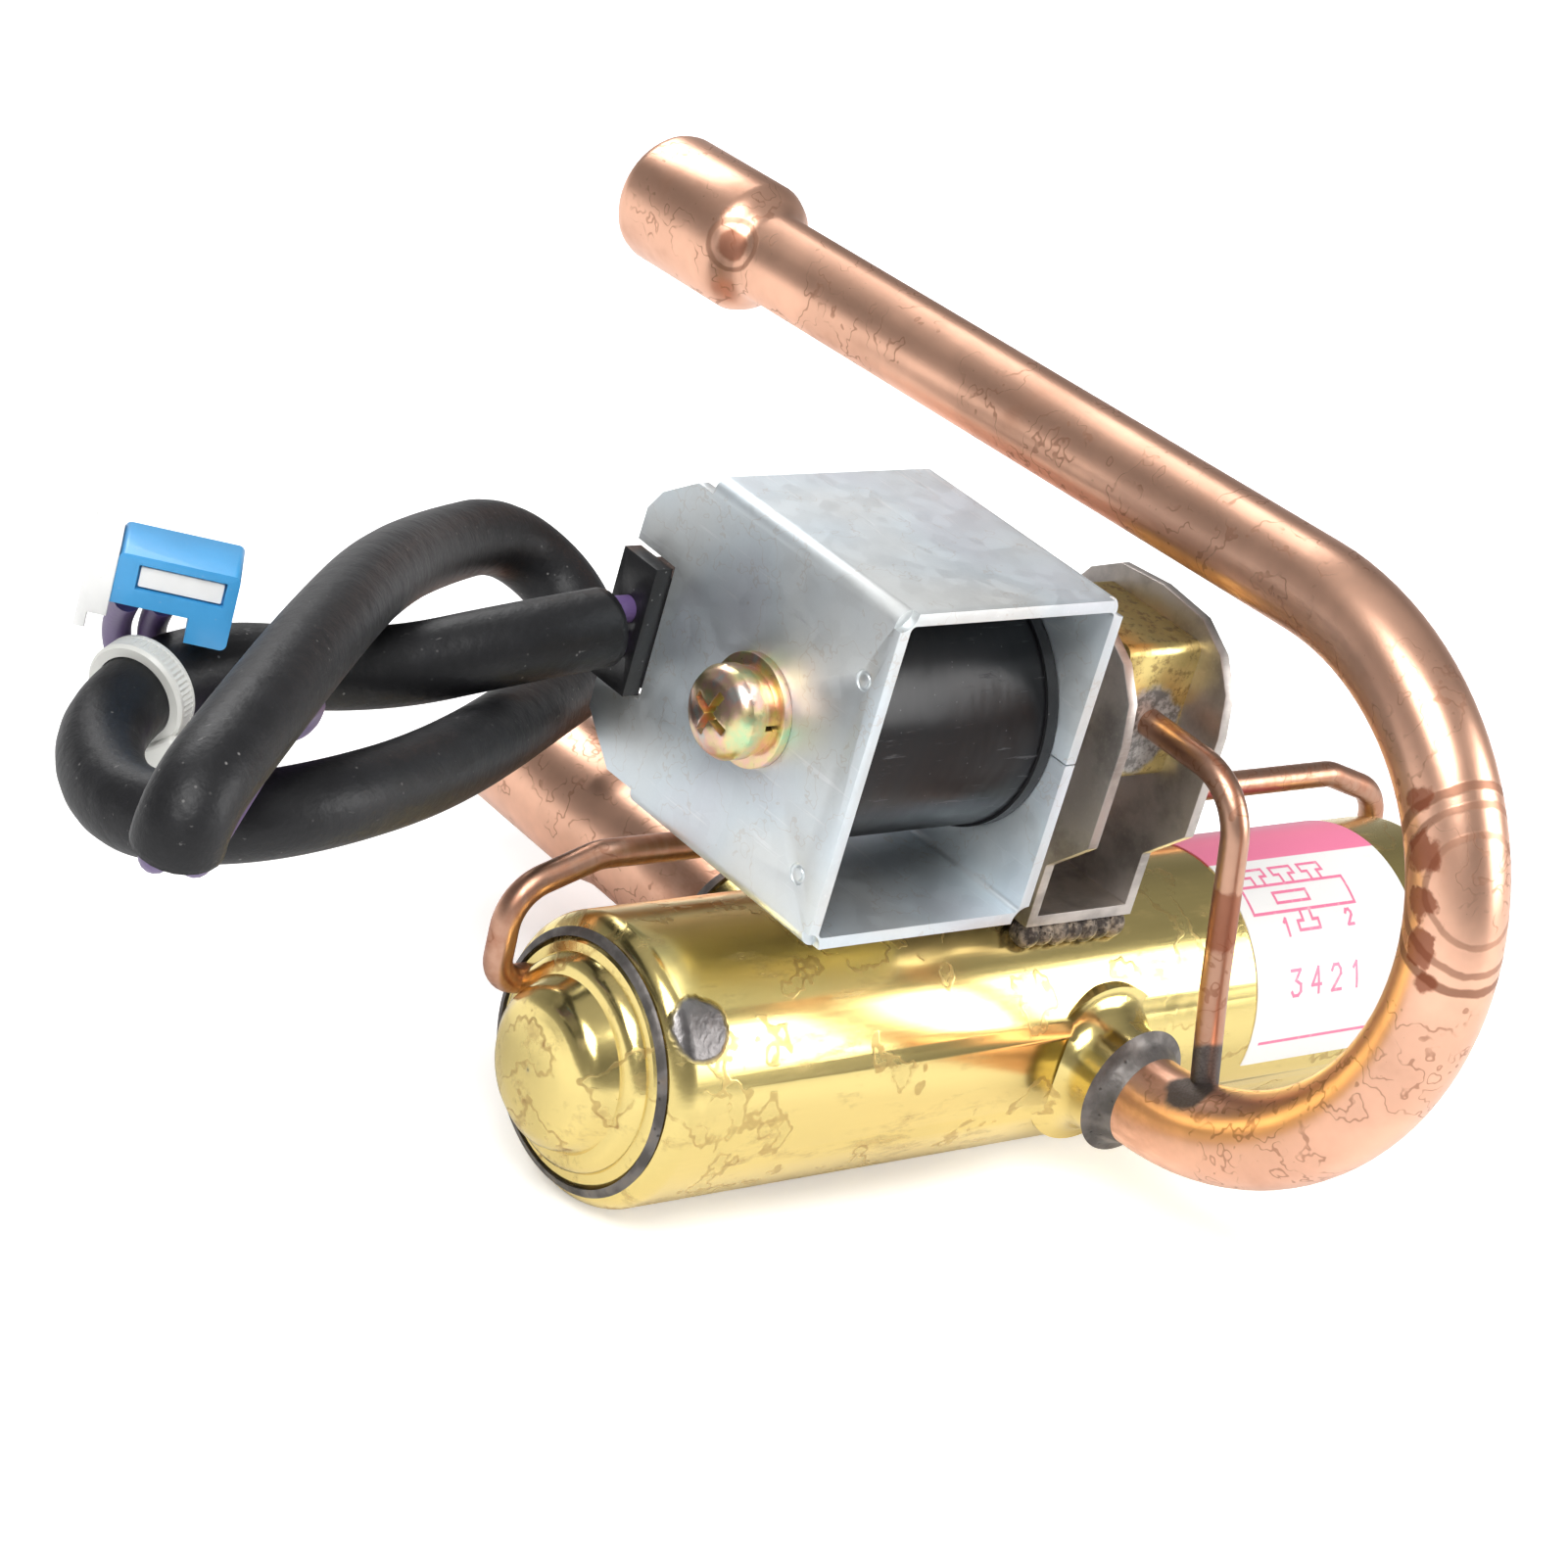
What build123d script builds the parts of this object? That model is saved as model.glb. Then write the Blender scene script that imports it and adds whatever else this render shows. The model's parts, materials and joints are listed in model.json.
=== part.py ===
from build123d import *
import math
import os

os.makedirs("parts", exist_ok=True)

# ---- driving dimensions, millimetres. X runs along the barrel, Z up, origin on the barrel axis ----
BARREL_R = 14.0
BARREL_WALL = 1.3
BARREL_HALF = 55.0
BARREL_ROUND = 2.5
LIP_R = 11.9
LIP_LEN = 1.3
BORE_R = BARREL_R - BARREL_WALL
FIT = 0.05
BRAZE_FIT = 0.03

PORT_PITCH = 21.5
SMALL_TUBE_R = 4.76
BIG_TUBE_R = 6.35
TUBE_WALL = 0.7
COLLAR_H = 4.0
COLLAR_WALL = 1.2
SOCKET_WALL = 0.65
SOCKET_BORE_R = 6.42

SMALL_BEND_R = 27.8
SMALL_STUB = 6.1
SMALL_RUN = 79.0
SMALL_SOCKET_LEN = 15.0
SMALL_YAW = 2.2
SMALL_PITCH = -1.2
BIG_NECK_Y = 37.0
BIG_SOCKET_LEN = 18.0

PILOT_Z = 36.2
BLOCK_X0 = -7.4
BLOCK_X1 = 2.1
BLOCK_HALF = 7.2
BLOCK_BORE_R = 4.6
BLOCK_BORE_X1 = 1.1
GUIDE_R = 5.25
GUIDE_WALL = 0.4
GUIDE_X0 = -44.8
GUIDE_X1 = -6.4
PILOT_STROKE = 2.4
PILOT_PITCH = 2.4
CAP_TUBE_R = 1.4
CAP_BORE_R = 0.7

EAR_T = 1.2
EAR_FRONT_X = -10.9
EAR_HALF = 12.6
EAR_NECK = 8.2
EAR_TOP_Z = 46.2
BASE_Z = BARREL_R + 0.05

COIL_X0 = -46.2
COIL_X1 = -19.0
COIL_Y0 = -14.8
COIL_Y1 = 12.9
COIL_Z0 = 19.4
COIL_Z1 = 53.2
STRIP_T = 1.2
STRIP_ROUND = 1.6
SEAM = 0.16
DIMPLE_R = 0.8

SLIDE_REST = PORT_PITCH / 2
SEAT_Y = 7.5
SEAT_HALF = 27.9
PORT_R = 5.65
EAR_GAP_HALF = 38.95
SEAL_T = 1.4
PLATE_T = 1.0
ROD_EAR_T = 0.9

SLEEVE_R = 3.75
SLEEVE_ROUTE = [
    (-50.6, 17.8, 35.7),
    (-60.0, 17.1, 35.2),
    (-74.0, 20.2, 31.2),
    (-91.5, 24.0, 32.0),
    (-104.2, 17.5, 29.2),
    (-109.2, 4.5, 28.8),
    (-103.8, -4.4, 32.4),
    (-91.0, -4.2, 33.6),
    (-71.0, 8.6, 28.6),
    (-46.8, 26.9, 23.0),
    (-33.5, 36.5, 20.6),
    (-30.8, 45.4, 24.4),
    (-37.8, 50.2, 29.2),
    (-52.2, 42.2, 32.0),
    (-73.4, 23.4, 39.6),
    (-93.9, 3.4, 44.8),
    (-110.8, -12.3, 46.4),
    (-121.0, -20.3, 43.6),
]
PLUG_AT = (-95.4, 22.2, 40.2)
PLUG_TURN = -35.0
PLUG_LEN = 10.5
PLUG_HALF = 3.5
TIE_AT = 0.19
WIRE_R = 1.3
WIRE_Z = (34.0, 37.5)


# ---- small helpers ----
def rod_x(r, x0, x1, y=0.0, z=0.0):
    """Solid round bar along X."""
    return Pos((x0 + x1) / 2, y, z) * Rot(0, 90, 0) * Cylinder(r, x1 - x0)


def rod_y(r, y0, y1, x=0.0, z=0.0):
    """Solid round bar along Y."""
    return Pos(x, (y0 + y1) / 2, z) * Rot(90, 0, 0) * Cylinder(r, y1 - y0)


def block(x0, x1, y0, y1, z0, z1):
    """Rectangular block between two corners."""
    return Pos((x0 + x1) / 2, (y0 + y1) / 2, (z0 + z1) / 2) * Box(x1 - x0, y1 - y0, z1 - z0)


def spun(points, axis=Axis.X):
    """Solid turned from a closed outline drawn in the XY plane."""
    return revolve(make_face(Polyline(*points, close=True)), axis=axis)


def follow(path, r_out, r_in=0.0):
    """Round tube or bar swept along a wire."""
    ring = Circle(r_out)
    if r_in > 0:
        ring = ring - Circle(r_in)
    section = Plane(origin=path @ 0, z_dir=path % 0) * ring
    return sweep(section, path=path)


def routed(points, radii, r_out, r_in=0.0):
    """Tube along straight runs joined by tangent arcs."""
    return follow(FilletPolyline(*points, radius=radii), r_out, r_in)


def save(shape, name, colour=None):
    """Write one node as one STEP file."""
    solids = shape.solids()
    keep = solids[0] if len(solids) == 1 else Compound(children=list(solids))
    keep.label = name
    export_step(keep, "parts/" + name + ".step")
    return keep


# ---- barrel and the parts brazed to it ----
def tilt():
    """Lean of the small port, which is brazed a little off square."""
    return Pos(0, -BARREL_R, 0) * Rot(SMALL_PITCH, 0, SMALL_YAW) * Pos(0, BARREL_R, 0)


def collar_profile(r_tube, side):
    """Drawn collar outline: flared where it leaves the barrel wall."""
    r_in = r_tube + BRAZE_FIT
    r_tip = r_tube + COLLAR_WALL
    y_tip = BARREL_R + COLLAR_H
    y_root = BARREL_R - 2.6
    flare = 2.6
    steps = 5
    outline = [(r_in, y_root)]
    outline.append((r_tip + flare, y_root))
    for i in range(steps + 1):
        a = math.pi / 2 * i / steps
        y = y_root + 1.2 + (flare + 0.6) * (1 - math.cos(a))
        outline.append((r_tip + flare * (1 - math.sin(a)), y))
    outline.append((r_tip, y_tip))
    outline.append((r_in, y_tip))
    return [(r, side * y) for r, y in outline]


def barrel():
    body = rod_x(BARREL_R, -BARREL_HALF, BARREL_HALF)
    rims = body.edges().filter_by(GeomType.CIRCLE)
    body = fillet(rims, BARREL_ROUND)
    for i in (-1, 0, 1):
        body = body + Pos(i * PORT_PITCH, 0, 0) * spun(collar_profile(BIG_TUBE_R, 1), Axis.Y)
    body = body + tilt() * spun(collar_profile(SMALL_TUBE_R, -1), Axis.Y)
    body = body - rod_x(BORE_R, -BARREL_HALF + LIP_LEN, BARREL_HALF - LIP_LEN)
    body = body - rod_x(LIP_R, -BARREL_HALF - 1, BARREL_HALF + 1)
    for i in (-1, 0, 1):
        body = body - rod_y(BIG_TUBE_R + BRAZE_FIT, 6, 20, i * PORT_PITCH)
    return body - tilt() * rod_y(SMALL_TUBE_R + BRAZE_FIT, -20, -6)


def cap_outline(scale_in):
    """Stepped dome of the end cap, distance from the barrel middle against radius."""
    e = BARREL_HALF
    rise = [(e, LIP_R - 0.03), (e + 0.5, 11.3), (e + 0.6, 10.4), (e + 1.4, 10.1), (e + 1.9, 9.5)]
    dome = [(e + 2.1, 8.4), (e + 2.9, 8.05), (e + 4.2, 7.5), (e + 5.2, 6.3)]
    dome = dome + [(e + 5.8, 4.4), (e + 6.1, 2.2)]
    return rise + dome + [(e + 6.15, 0)]


def end_cap():
    inner_rim = BARREL_HALF - 2.9
    shoulder = BARREL_HALF - LIP_LEN
    outside = [(inner_rim, 0), (inner_rim, BORE_R), (shoulder, BORE_R), (shoulder, LIP_R - 0.03)]
    solid = spun(outside + cap_outline(0))
    e = BARREL_HALF
    hollow = [(inner_rim - 1, 0), (inner_rim - 1, 9.0), (e + 0.6, 9.0), (e + 0.9, 7.3), (e + 2.6, 7.0)]
    hollow = hollow + [(e + 4.0, 6.2), (e + 4.8, 4.4), (e + 5.1, 0)]
    return solid - spun(hollow)


def cap_braze():
    e = BARREL_HALF
    r = LIP_R
    return spun([(e, r - 0.02), (e, r + 0.75), (e + 0.32, r + 0.55), (e + 0.5, r - 0.1)]) - end_cap()


def big_tube(x):
    """Suction-side tube with a swaged socket end."""
    y0 = 11.4
    r = BIG_TUBE_R
    rs = SOCKET_BORE_R
    w = TUBE_WALL
    ws = SOCKET_WALL
    end = BIG_NECK_Y + 3.5 + BIG_SOCKET_LEN
    flare = BIG_NECK_Y + 3.5
    outer = [(r, y0), (r, BIG_NECK_Y), (r + 0.15, BIG_NECK_Y + 1.2)]
    outer = outer + [(rs + ws, flare), (rs + ws, end - 0.9)]
    outer = outer + [(rs + ws - 0.25, end - 0.2), (rs + ws - 0.5, end)]
    inner = [(rs, end), (rs, flare + 0.2), (r - w + 0.1, BIG_NECK_Y + 1.2)]
    inner = inner + [(r - w, BIG_NECK_Y), (r - w, y0)]
    return Pos(x, 0, 0) * spun(outer + inner, Axis.Y)


def ring_fillet(r_tube, side, size=1.5):
    """Braze fillet standing on the tip of a drawn collar."""
    y = BARREL_R + COLLAR_H
    outline = [(r_tube, y), (r_tube + size, y), (r_tube + 0.9, y + 0.5)]
    outline = outline + [(r_tube + 0.35, y + 1.3), (r_tube, y + 2.2)]
    return spun([(r, side * v) for r, v in outline], Axis.Y)


def small_tube_path():
    y0 = -12.2
    y1 = -BARREL_R - SMALL_STUB
    b = SMALL_BEND_R
    run = Line((0, y0, 0), (0, y1, 0))
    bend = ThreePointArc((0, y1, 0), (0, y1 - b, b), (0, y1, 2 * b))
    back = Line((0, y1, 2 * b), (0, y1 + SMALL_RUN, 2 * b))
    return Wire([run, bend, back])


def small_socket():
    """Swaged end of the small tube, made to take a larger tube."""
    y = -BARREL_R - SMALL_STUB + SMALL_RUN
    z = 2 * SMALL_BEND_R
    r = SMALL_TUBE_R
    rs = SOCKET_BORE_R
    w = TUBE_WALL
    ws = SOCKET_WALL
    end = y + 3.0 + SMALL_SOCKET_LEN
    outer = [(r, y), (r + 0.35, y + 0.8), (rs + ws - 0.45, y + 2.4), (rs + ws, y + 3.4)]
    outer = outer + [(rs + ws, end - 1.3), (rs + ws - 0.2, end - 0.5), (rs + ws - 0.6, end)]
    inner = [(rs - 0.1, end), (rs, end - 0.8), (rs, y + 3.6), (r - w + 0.3, y + 1.2), (r - w, y)]
    return Pos(0, 0, z) * spun(outer + inner, Axis.Y)


def small_tube():
    bent = follow(small_tube_path(), SMALL_TUBE_R, SMALL_TUBE_R - TUBE_WALL)
    return tilt() * (bent + small_socket())


# ---- what slides inside the barrel ----
def valve_seat():
    seat = rod_x(BORE_R - FIT, -SEAT_HALF, SEAT_HALF) & block(-SEAT_HALF, SEAT_HALF, SEAT_Y, 14, -14, 14)
    for i in (-1, 0, 1):
        seat = seat - rod_y(PORT_R, 0, 14, i * PORT_PITCH)
        seat = seat - rod_y(BIG_TUBE_R + BRAZE_FIT, 11.3, 14, i * PORT_PITCH)
    return seat


def slot_y(length, r, y0, y1, x=0.0):
    """Round-ended bar standing along Y."""
    half = length / 2 - r
    middle = block(x - half, x + half, y0, y1, -r, r)
    return middle + rod_y(r, y0, y1, x - half) + rod_y(r, y0, y1, x + half)


def slide_block():
    out_r = PORT_R + 1.5
    length = PORT_PITCH + 2 * out_r
    body = slot_y(length, out_r, 1.2, SEAT_Y - FIT)
    body = body + block(-9, 9, -3.2, 1.2, -4.4, 4.4)
    body = body - slot_y(PORT_PITCH + 2 * PORT_R, PORT_R, 3.2, SEAT_Y + 1)
    return Pos(SLIDE_REST, 0, 0) * body


def connecting_frame():
    """Stamped plate with folded ends, a window for the slide block and two flow holes."""
    g = EAR_GAP_HALF
    frame = block(-g, g, -1.6, -0.6, -9.6, 9.6)
    frame = frame - block(-9 - FIT, 9 + FIT, -3, 1, -4.4 - FIT, 4.4 + FIT)
    for s in (-1, 1):
        frame = frame - slot_y(16, 4.2, -3, 1, s * 20.5)
        frame = frame + rod_x(10.2, g * s if s > 0 else -g - ROD_EAR_T, g + ROD_EAR_T if s > 0 else -g)
        for z in (-5.2, 5.2):
            frame = frame - rod_x(1.5, s * g - 3, s * g + 3, 0, z)
            near = g - 1.0 if s > 0 else -g
            frame = frame - rod_x(2.45, near, near + 1.0, 0, z)
    return Pos(SLIDE_REST, 0, 0) * frame


def piston_x():
    """Outer face of the connecting frame's folded end."""
    return EAR_GAP_HALF + ROD_EAR_T


def piston_seal(side):
    x = piston_x()
    r = BORE_R - FIT
    cup = spun([(x, 0), (x, 11.2), (x - 0.5, 12.0), (x - 0.5, r), (x + SEAL_T, r), (x + SEAL_T, 0)])
    for z in (-5.2, 5.2):
        cup = cup - rod_x(1.5, x - 2, x + 3, 0, z)
    return Pos(SLIDE_REST, 0, 0) * (cup if side > 0 else mirror(cup, Plane.YZ))


def piston_plate(side):
    x = piston_x() + SEAL_T
    plate = rod_x(8.7, x, x + PLATE_T)
    for z in (-5.2, 5.2):
        plate = plate - rod_x(1.5, x - 2, x + 3, 0, z)
    return Pos(SLIDE_REST, 0, 0) * (plate if side > 0 else mirror(plate, Plane.YZ))


def piston_rivets():
    g = EAR_GAP_HALF
    x1 = piston_x() + SEAL_T + PLATE_T
    rivets = []
    for z in (-5.2, 5.2):
        one = rod_x(1.5, g, x1, 0, z) + rod_x(2.4, x1, x1 + 0.8, 0, z) + rod_x(2.4, g - 0.9, g, 0, z)
        rivets.append(one)
        rivets.append(mirror(one, Plane.YZ))
    return Pos(SLIDE_REST, 0, 0) * Compound(children=rivets)


# ---- pilot bracket and pilot valve ----
def ear_face():
    """D-shaped ear of the bracket, drawn in Y and Z."""
    top = [(-6.0, 45.6), (0, EAR_TOP_Z), (6.0, 45.6), (9.6, 43.4), (11.8, 40.2), (EAR_HALF, 36.0)]
    right = [(EAR_HALF, 25.2), (EAR_NECK, 21.0), (EAR_NECK, BASE_Z)]
    left = [(-EAR_NECK, BASE_Z), (-EAR_NECK, 21.0), (-EAR_HALF, 25.2)]
    left = left + [(-EAR_HALF, 36.0), (-11.8, 40.2), (-9.6, 43.4)]
    return top + right + left


def ear(x):
    face = Plane.YZ * make_face(Polyline(*ear_face(), close=True))
    return Pos(x, 0, 0) * extrude(face, EAR_T)


def pilot_bracket():
    body = ear(EAR_FRONT_X) + ear(BLOCK_X1)
    body = body + block(EAR_FRONT_X, BLOCK_X1 + EAR_T, -EAR_NECK, EAR_NECK, BASE_Z, BASE_Z + EAR_T)
    body = body - rod_x(GUIDE_R + 0.2, EAR_FRONT_X - 1, EAR_FRONT_X + 3, 0, PILOT_Z)
    return body - rod_x(2.0, BLOCK_X1 - 1, BLOCK_X1 + 3, 0, PILOT_Z + 4)


def weld_bead(side):
    """Ragged weld run between the bracket's base and the barrel."""
    x = EAR_FRONT_X + 0.4
    beads = None
    widths = [1.55, 1.35, 1.6, 1.4, 1.7, 1.45, 1.6]
    for i, w in enumerate(widths):
        lump = Pos(x + 0.9 + 1.9 * i, side * (7.1 + 0.18 * (i % 2)), 12.8) * Sphere(w)
        beads = lump if beads is None else beads + lump
    beads = beads - rod_x(BARREL_R, -40, 40)
    return beads - block(EAR_FRONT_X, BLOCK_X1 + EAR_T, -EAR_NECK, EAR_NECK, BASE_Z, 30)


def pilot_body():
    z0 = PILOT_Z - 7.25
    z1 = PILOT_Z + 7.25
    body = block(BLOCK_X0, BLOCK_X1, -BLOCK_HALF, BLOCK_HALF, z0, z1)
    body = fillet(body.edges().filter_by(Axis.X), 1.2)
    body = body - rod_x(BLOCK_BORE_R, GUIDE_X1, BLOCK_BORE_X1, 0, PILOT_Z)
    body = body - rod_x(GUIDE_R, BLOCK_X0 - 1, GUIDE_X1, 0, PILOT_Z)
    for x, z in small_ports():
        body = body - rod_y(CAP_TUBE_R, 5.2, 8, x, z) - rod_y(CAP_BORE_R, 4.2, 6, x, z)
    x, z = feed_port()
    return body - rod_y(CAP_TUBE_R, -8, -5.2, x, z) - rod_y(CAP_BORE_R, -6, -4.2, x, z)


def small_ports():
    """Where the three rear capillaries enter the pilot body."""
    mid = -2.7
    return [(mid - PILOT_PITCH, PILOT_Z - 1), (mid, PILOT_Z + 1), (mid + PILOT_PITCH, PILOT_Z - 1)]


def feed_port():
    """Where the feed capillary enters the pilot body."""
    return (-2.0, PILOT_Z - 0.9)


def pilot_seat():
    seat = rod_x(BLOCK_BORE_R, GUIDE_X1, BLOCK_BORE_X1, 0, PILOT_Z)
    seat = seat & block(GUIDE_X1, BLOCK_BORE_X1, 2.2, 6, PILOT_Z - 6, PILOT_Z + 6)
    for x, z in small_ports():
        seat = seat - rod_y(0.5, 0, 6, x, PILOT_Z)
    return seat


def guide_tube():
    tube = rod_x(GUIDE_R, GUIDE_X0, GUIDE_X1, 0, PILOT_Z)
    return tube - rod_x(GUIDE_R - GUIDE_WALL, GUIDE_X0 - 1, GUIDE_X1 + 1, 0, PILOT_Z)


CORE_X1 = -31.0


def fixed_core():
    r = GUIDE_R - GUIDE_WALL
    core = rod_x(r, GUIDE_X0, CORE_X1, 0, PILOT_Z)
    core = core - rod_x(2.0, GUIDE_X0 - 1, -38.5, 0, PILOT_Z)
    groove = rod_x(4.0, CORE_X1 - 0.9, CORE_X1 + 1, 0, PILOT_Z)
    groove = groove - rod_x(3.1, CORE_X1 - 2, CORE_X1 + 2, 0, PILOT_Z)
    return core - groove


def shading_ring():
    ring = rod_x(4.0, CORE_X1 - 0.9, CORE_X1 - 0.1, 0, PILOT_Z)
    return ring - rod_x(3.1, CORE_X1 - 2, CORE_X1 + 1, 0, PILOT_Z)


PLUNGER_X0 = CORE_X1 + PILOT_STROKE + 0.1
PLUNGER_X1 = -13.0
POCKET_X = -20.0


def plunger():
    r = GUIDE_R - GUIDE_WALL - FIT
    body = rod_x(r, PLUNGER_X0, PLUNGER_X1, 0, PILOT_Z)
    body = body - rod_x(2.6, PLUNGER_X0 - 1, POCKET_X, 0, PILOT_Z)
    body = body + rod_x(2.2, PLUNGER_X1, -7.6, 0, PILOT_Z)
    for side in (-1, 1):
        slot = (side * 5 - 0.5, side * 5 + 0.5, PILOT_Z - 0.7, PILOT_Z + 0.7)
        body = body - block(PLUNGER_X0 - 1, PLUNGER_X1 + 1, *slot)
    return body


def slide_carrier():
    """Thin carrier on the plunger's nose that drags the pilot slide."""
    z = PILOT_Z
    arm = block(-7.6, 0.7, -0.6, 0.3, z - 2.6, z + 2.6)
    return arm - block(-3.4, 0.4, -1, 1, z - 1.2, z + 1.2)


def pilot_slide():
    z = PILOT_Z
    mid = -2.7 + PILOT_PITCH / 2
    half = PILOT_PITCH / 2 + 0.5 + 0.45
    body = block(mid - half, mid + half, 0.3, 2.2 - 0.03, z - 1.5, z + 1.5)
    body = body + block(-3.3, 0.3, -0.6, 0.3, z - 1.1, z + 1.1)
    return body - block(mid - half + 0.45, mid + half - 0.45, 1.3, 3, z - 0.5, z + 0.5)


def return_spring():
    length = POCKET_X - CORE_X1
    turns = 6
    coil = Helix(pitch=(length - 0.7) / turns, height=length - 0.7, radius=1.75)
    section = Plane(origin=coil @ 0, z_dir=coil % 0) * RegularPolygon(0.3, 6)
    wire = sweep(section, path=coil, is_frenet=True)
    return Pos(CORE_X1 + 0.35, 0, PILOT_Z) * Rot(0, 90, 0) * wire


# ---- capillaries ----
def capillary(points, radii, bore=CAP_BORE_R):
    return routed(points, radii, CAP_TUBE_R, bore)


def rear_capillary(index):
    """Pilot line from the body's rear face to one barrel end cap."""
    x, z = small_ports()[index]
    side = -1 if index == 0 else 1
    rise_y = 12.2
    run_y = 10.6
    run_z = 15.6
    cap_x = side * (BARREL_HALF - 0.6)
    out_x = side * (BARREL_HALF + 4.2)
    points = [(x, 5.2, z), (x, rise_y + 0.6, z), (x, rise_y, 18.6), (x + side * 5, run_y, run_z)]
    points = points + [(side * 50, run_y, run_z), (out_x, run_y, 12.4)]
    points = points + [(out_x, 9.9, 3.4), (cap_x, 9.9, 3.4)]
    return capillary(points, [2.6, 2.6, 2.2, 5, 5, 2.6]), points


def middle_capillary(bore=CAP_BORE_R):
    x, z = small_ports()[1]
    points = [(x, 5.2, z), (x, 16.4, z), (0, 21.5, 22), (0, 22.5, BIG_TUBE_R - 0.6)]
    return capillary(points, [3.2, 8], bore)


def feed_capillary(bore=CAP_BORE_R):
    """Pilot feed line from the body's near face to the small tube."""
    x, z = feed_port()
    points = [(x, -5.2, z), (x, -20.6, z), (-0.4, -24.2, 14.5), (1.2, -25.6, 4.6)]
    return capillary(points, [6.5, 8], bore)


# ---- coil ----
def front_plate_outline():
    low = [(COIL_Y0, COIL_Z0), (COIL_Y1, COIL_Z0), (16.1, 20.4), (21.5, 25.3), (21.5, 28.7)]
    high = [(15.1, 29.2), (15.1, 43.0), (21.0, 43.1), (20.9, 46.3), (19.4, 48.6), (14.2, 52.2)]
    return low + high + [(COIL_Y1, COIL_Z1), (COIL_Y0, COIL_Z1)]


def coil_frame():
    """One strip folded into a closed box, its ends meeting halfway up the rear face."""
    t = STRIP_T
    outer = block(COIL_X0, COIL_X1, COIL_Y0, COIL_Y1, COIL_Z0, COIL_Z1)
    outer = fillet(outer.edges().filter_by(Axis.Y), STRIP_ROUND)
    inner = block(COIL_X0 + t, COIL_X1 - t, COIL_Y0 - 1, COIL_Y1 + 1, COIL_Z0 + t, COIL_Z1 - t)
    inner = fillet(inner.edges().filter_by(Axis.Y), STRIP_ROUND - t + 0.2)
    frame = outer - inner
    wing = make_face(Polyline(*front_plate_outline(), close=True))
    wing = Pos(COIL_X0, 0, 0) * extrude(Plane.YZ * wing, t)
    wing = wing & block(COIL_X0 - 1, COIL_X0 + t, 8, 30, COIL_Z0 + STRIP_ROUND, COIL_Z1 - STRIP_ROUND)
    frame = frame + wing
    zm = PILOT_Z
    seam = (COIL_Y0 - 1, COIL_Y1 + 1, zm - SEAM / 2, zm + SEAM / 2)
    frame = frame - block(COIL_X1 - t - 1, COIL_X1 + 1, *seam)
    frame = frame - rod_x(2.2, COIL_X0 - 1, COIL_X0 + 3, 0, zm)
    frame = frame - rod_x(GUIDE_R + 0.15, COIL_X1 - 3, COIL_X1 + 1, 0, zm)
    for y, z in ((-12.2, 45.5), (-11.2, 25.4)):
        ring = Pos(COIL_X0, y, z) * Rot(0, 90, 0) * Torus(DIMPLE_R, 0.22)
        frame = frame - ring
    for x in (COIL_X0, COIL_X1):
        for z in (COIL_Z0, COIL_Z1):
            notch = rod_y(1.7, COIL_Y0 - 1, COIL_Y0 + 0.9, x, z)
            frame = frame - notch
    return frame


BOBBIN_X0 = COIL_X0 + STRIP_T + 0.1
BOBBIN_X1 = COIL_X1 - STRIP_T - 0.1


def bobbin():
    z = PILOT_Z
    body = rod_x(6.5, BOBBIN_X0, BOBBIN_X1, 0, z)
    body = body + rod_x(12.7, BOBBIN_X0, BOBBIN_X0 + 1.3, 0, z)
    body = body + rod_x(12.7, BOBBIN_X1 - 1.3, BOBBIN_X1, 0, z)
    return body - rod_x(GUIDE_R + 0.1, BOBBIN_X0 - 1, BOBBIN_X1 + 1, 0, z)


def winding():
    z = PILOT_Z
    return rod_x(11.9, BOBBIN_X0 + 1.3, BOBBIN_X1 - 1.3, 0, z) - rod_x(6.5, BOBBIN_X0, BOBBIN_X1, 0, z)


def coil_wrap():
    z = PILOT_Z
    return rod_x(12.4, BOBBIN_X0 + 1.3, BOBBIN_X1 - 1.3, 0, z) - rod_x(11.9, BOBBIN_X0, BOBBIN_X1, 0, z)


def lead_block():
    """Black terminal block that fills the notch in the front plate."""
    body = block(COIL_X0 - 1.9, COIL_X0 - 0.02, 15.3, 20.4, 29.6, 42.7)
    body = body + block(COIL_X0 - 0.02, COIL_X0 + 8, 15.2, 19.6, 30.4, 41.8)
    for z in WIRE_Z:
        body = body - rod_x(WIRE_R, COIL_X0 - 3, COIL_X0 + 4, 17.8, z)
    return body


def stub_wires():
    wires = [rod_x(WIRE_R, -51.6, COIL_X0 + 4, 17.8, z) for z in WIRE_Z]
    return Compound(children=wires)


def washer(r_out, r_in, x0, x1):
    return rod_x(r_out, x0, x1, 0, PILOT_Z) - rod_x(r_in, x0 - 1, x1 + 1, 0, PILOT_Z)


def flat_washer():
    return washer(5.35, 2.2, COIL_X0 - 0.95, COIL_X0)


def spring_washer():
    """Split ring, cut through at the top near side."""
    ring = washer(4.1, 2.2, COIL_X0 - 2.2, COIL_X0 - 0.95)
    cut = Pos(COIL_X0 - 1.5, -3.1, PILOT_Z + 0.6) * Rot(18, 0, 0) * Box(3, 3, 0.5)
    return ring - cut


def coil_screw():
    """Pan head screw with a cross recess."""
    x = COIL_X0 - 2.2
    z = PILOT_Z
    crown = [(x - 2.3, 3.9), (x - 2.8, 2.9), (x - 3.1, 1.4), (x - 3.15, 0)]
    head = spun([(x, 0), (x, 4.4), (x - 1.5, 4.4)] + crown)
    head = Pos(0, 0, z) * head
    for a in (0, 90):
        head = head - Pos(x - 2.6, 0, z) * Rot(a + 20, 0, 0) * Box(2.4, 4.8, 0.85)
    return head + rod_x(2.0, x, -39.0, 0, z)


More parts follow.
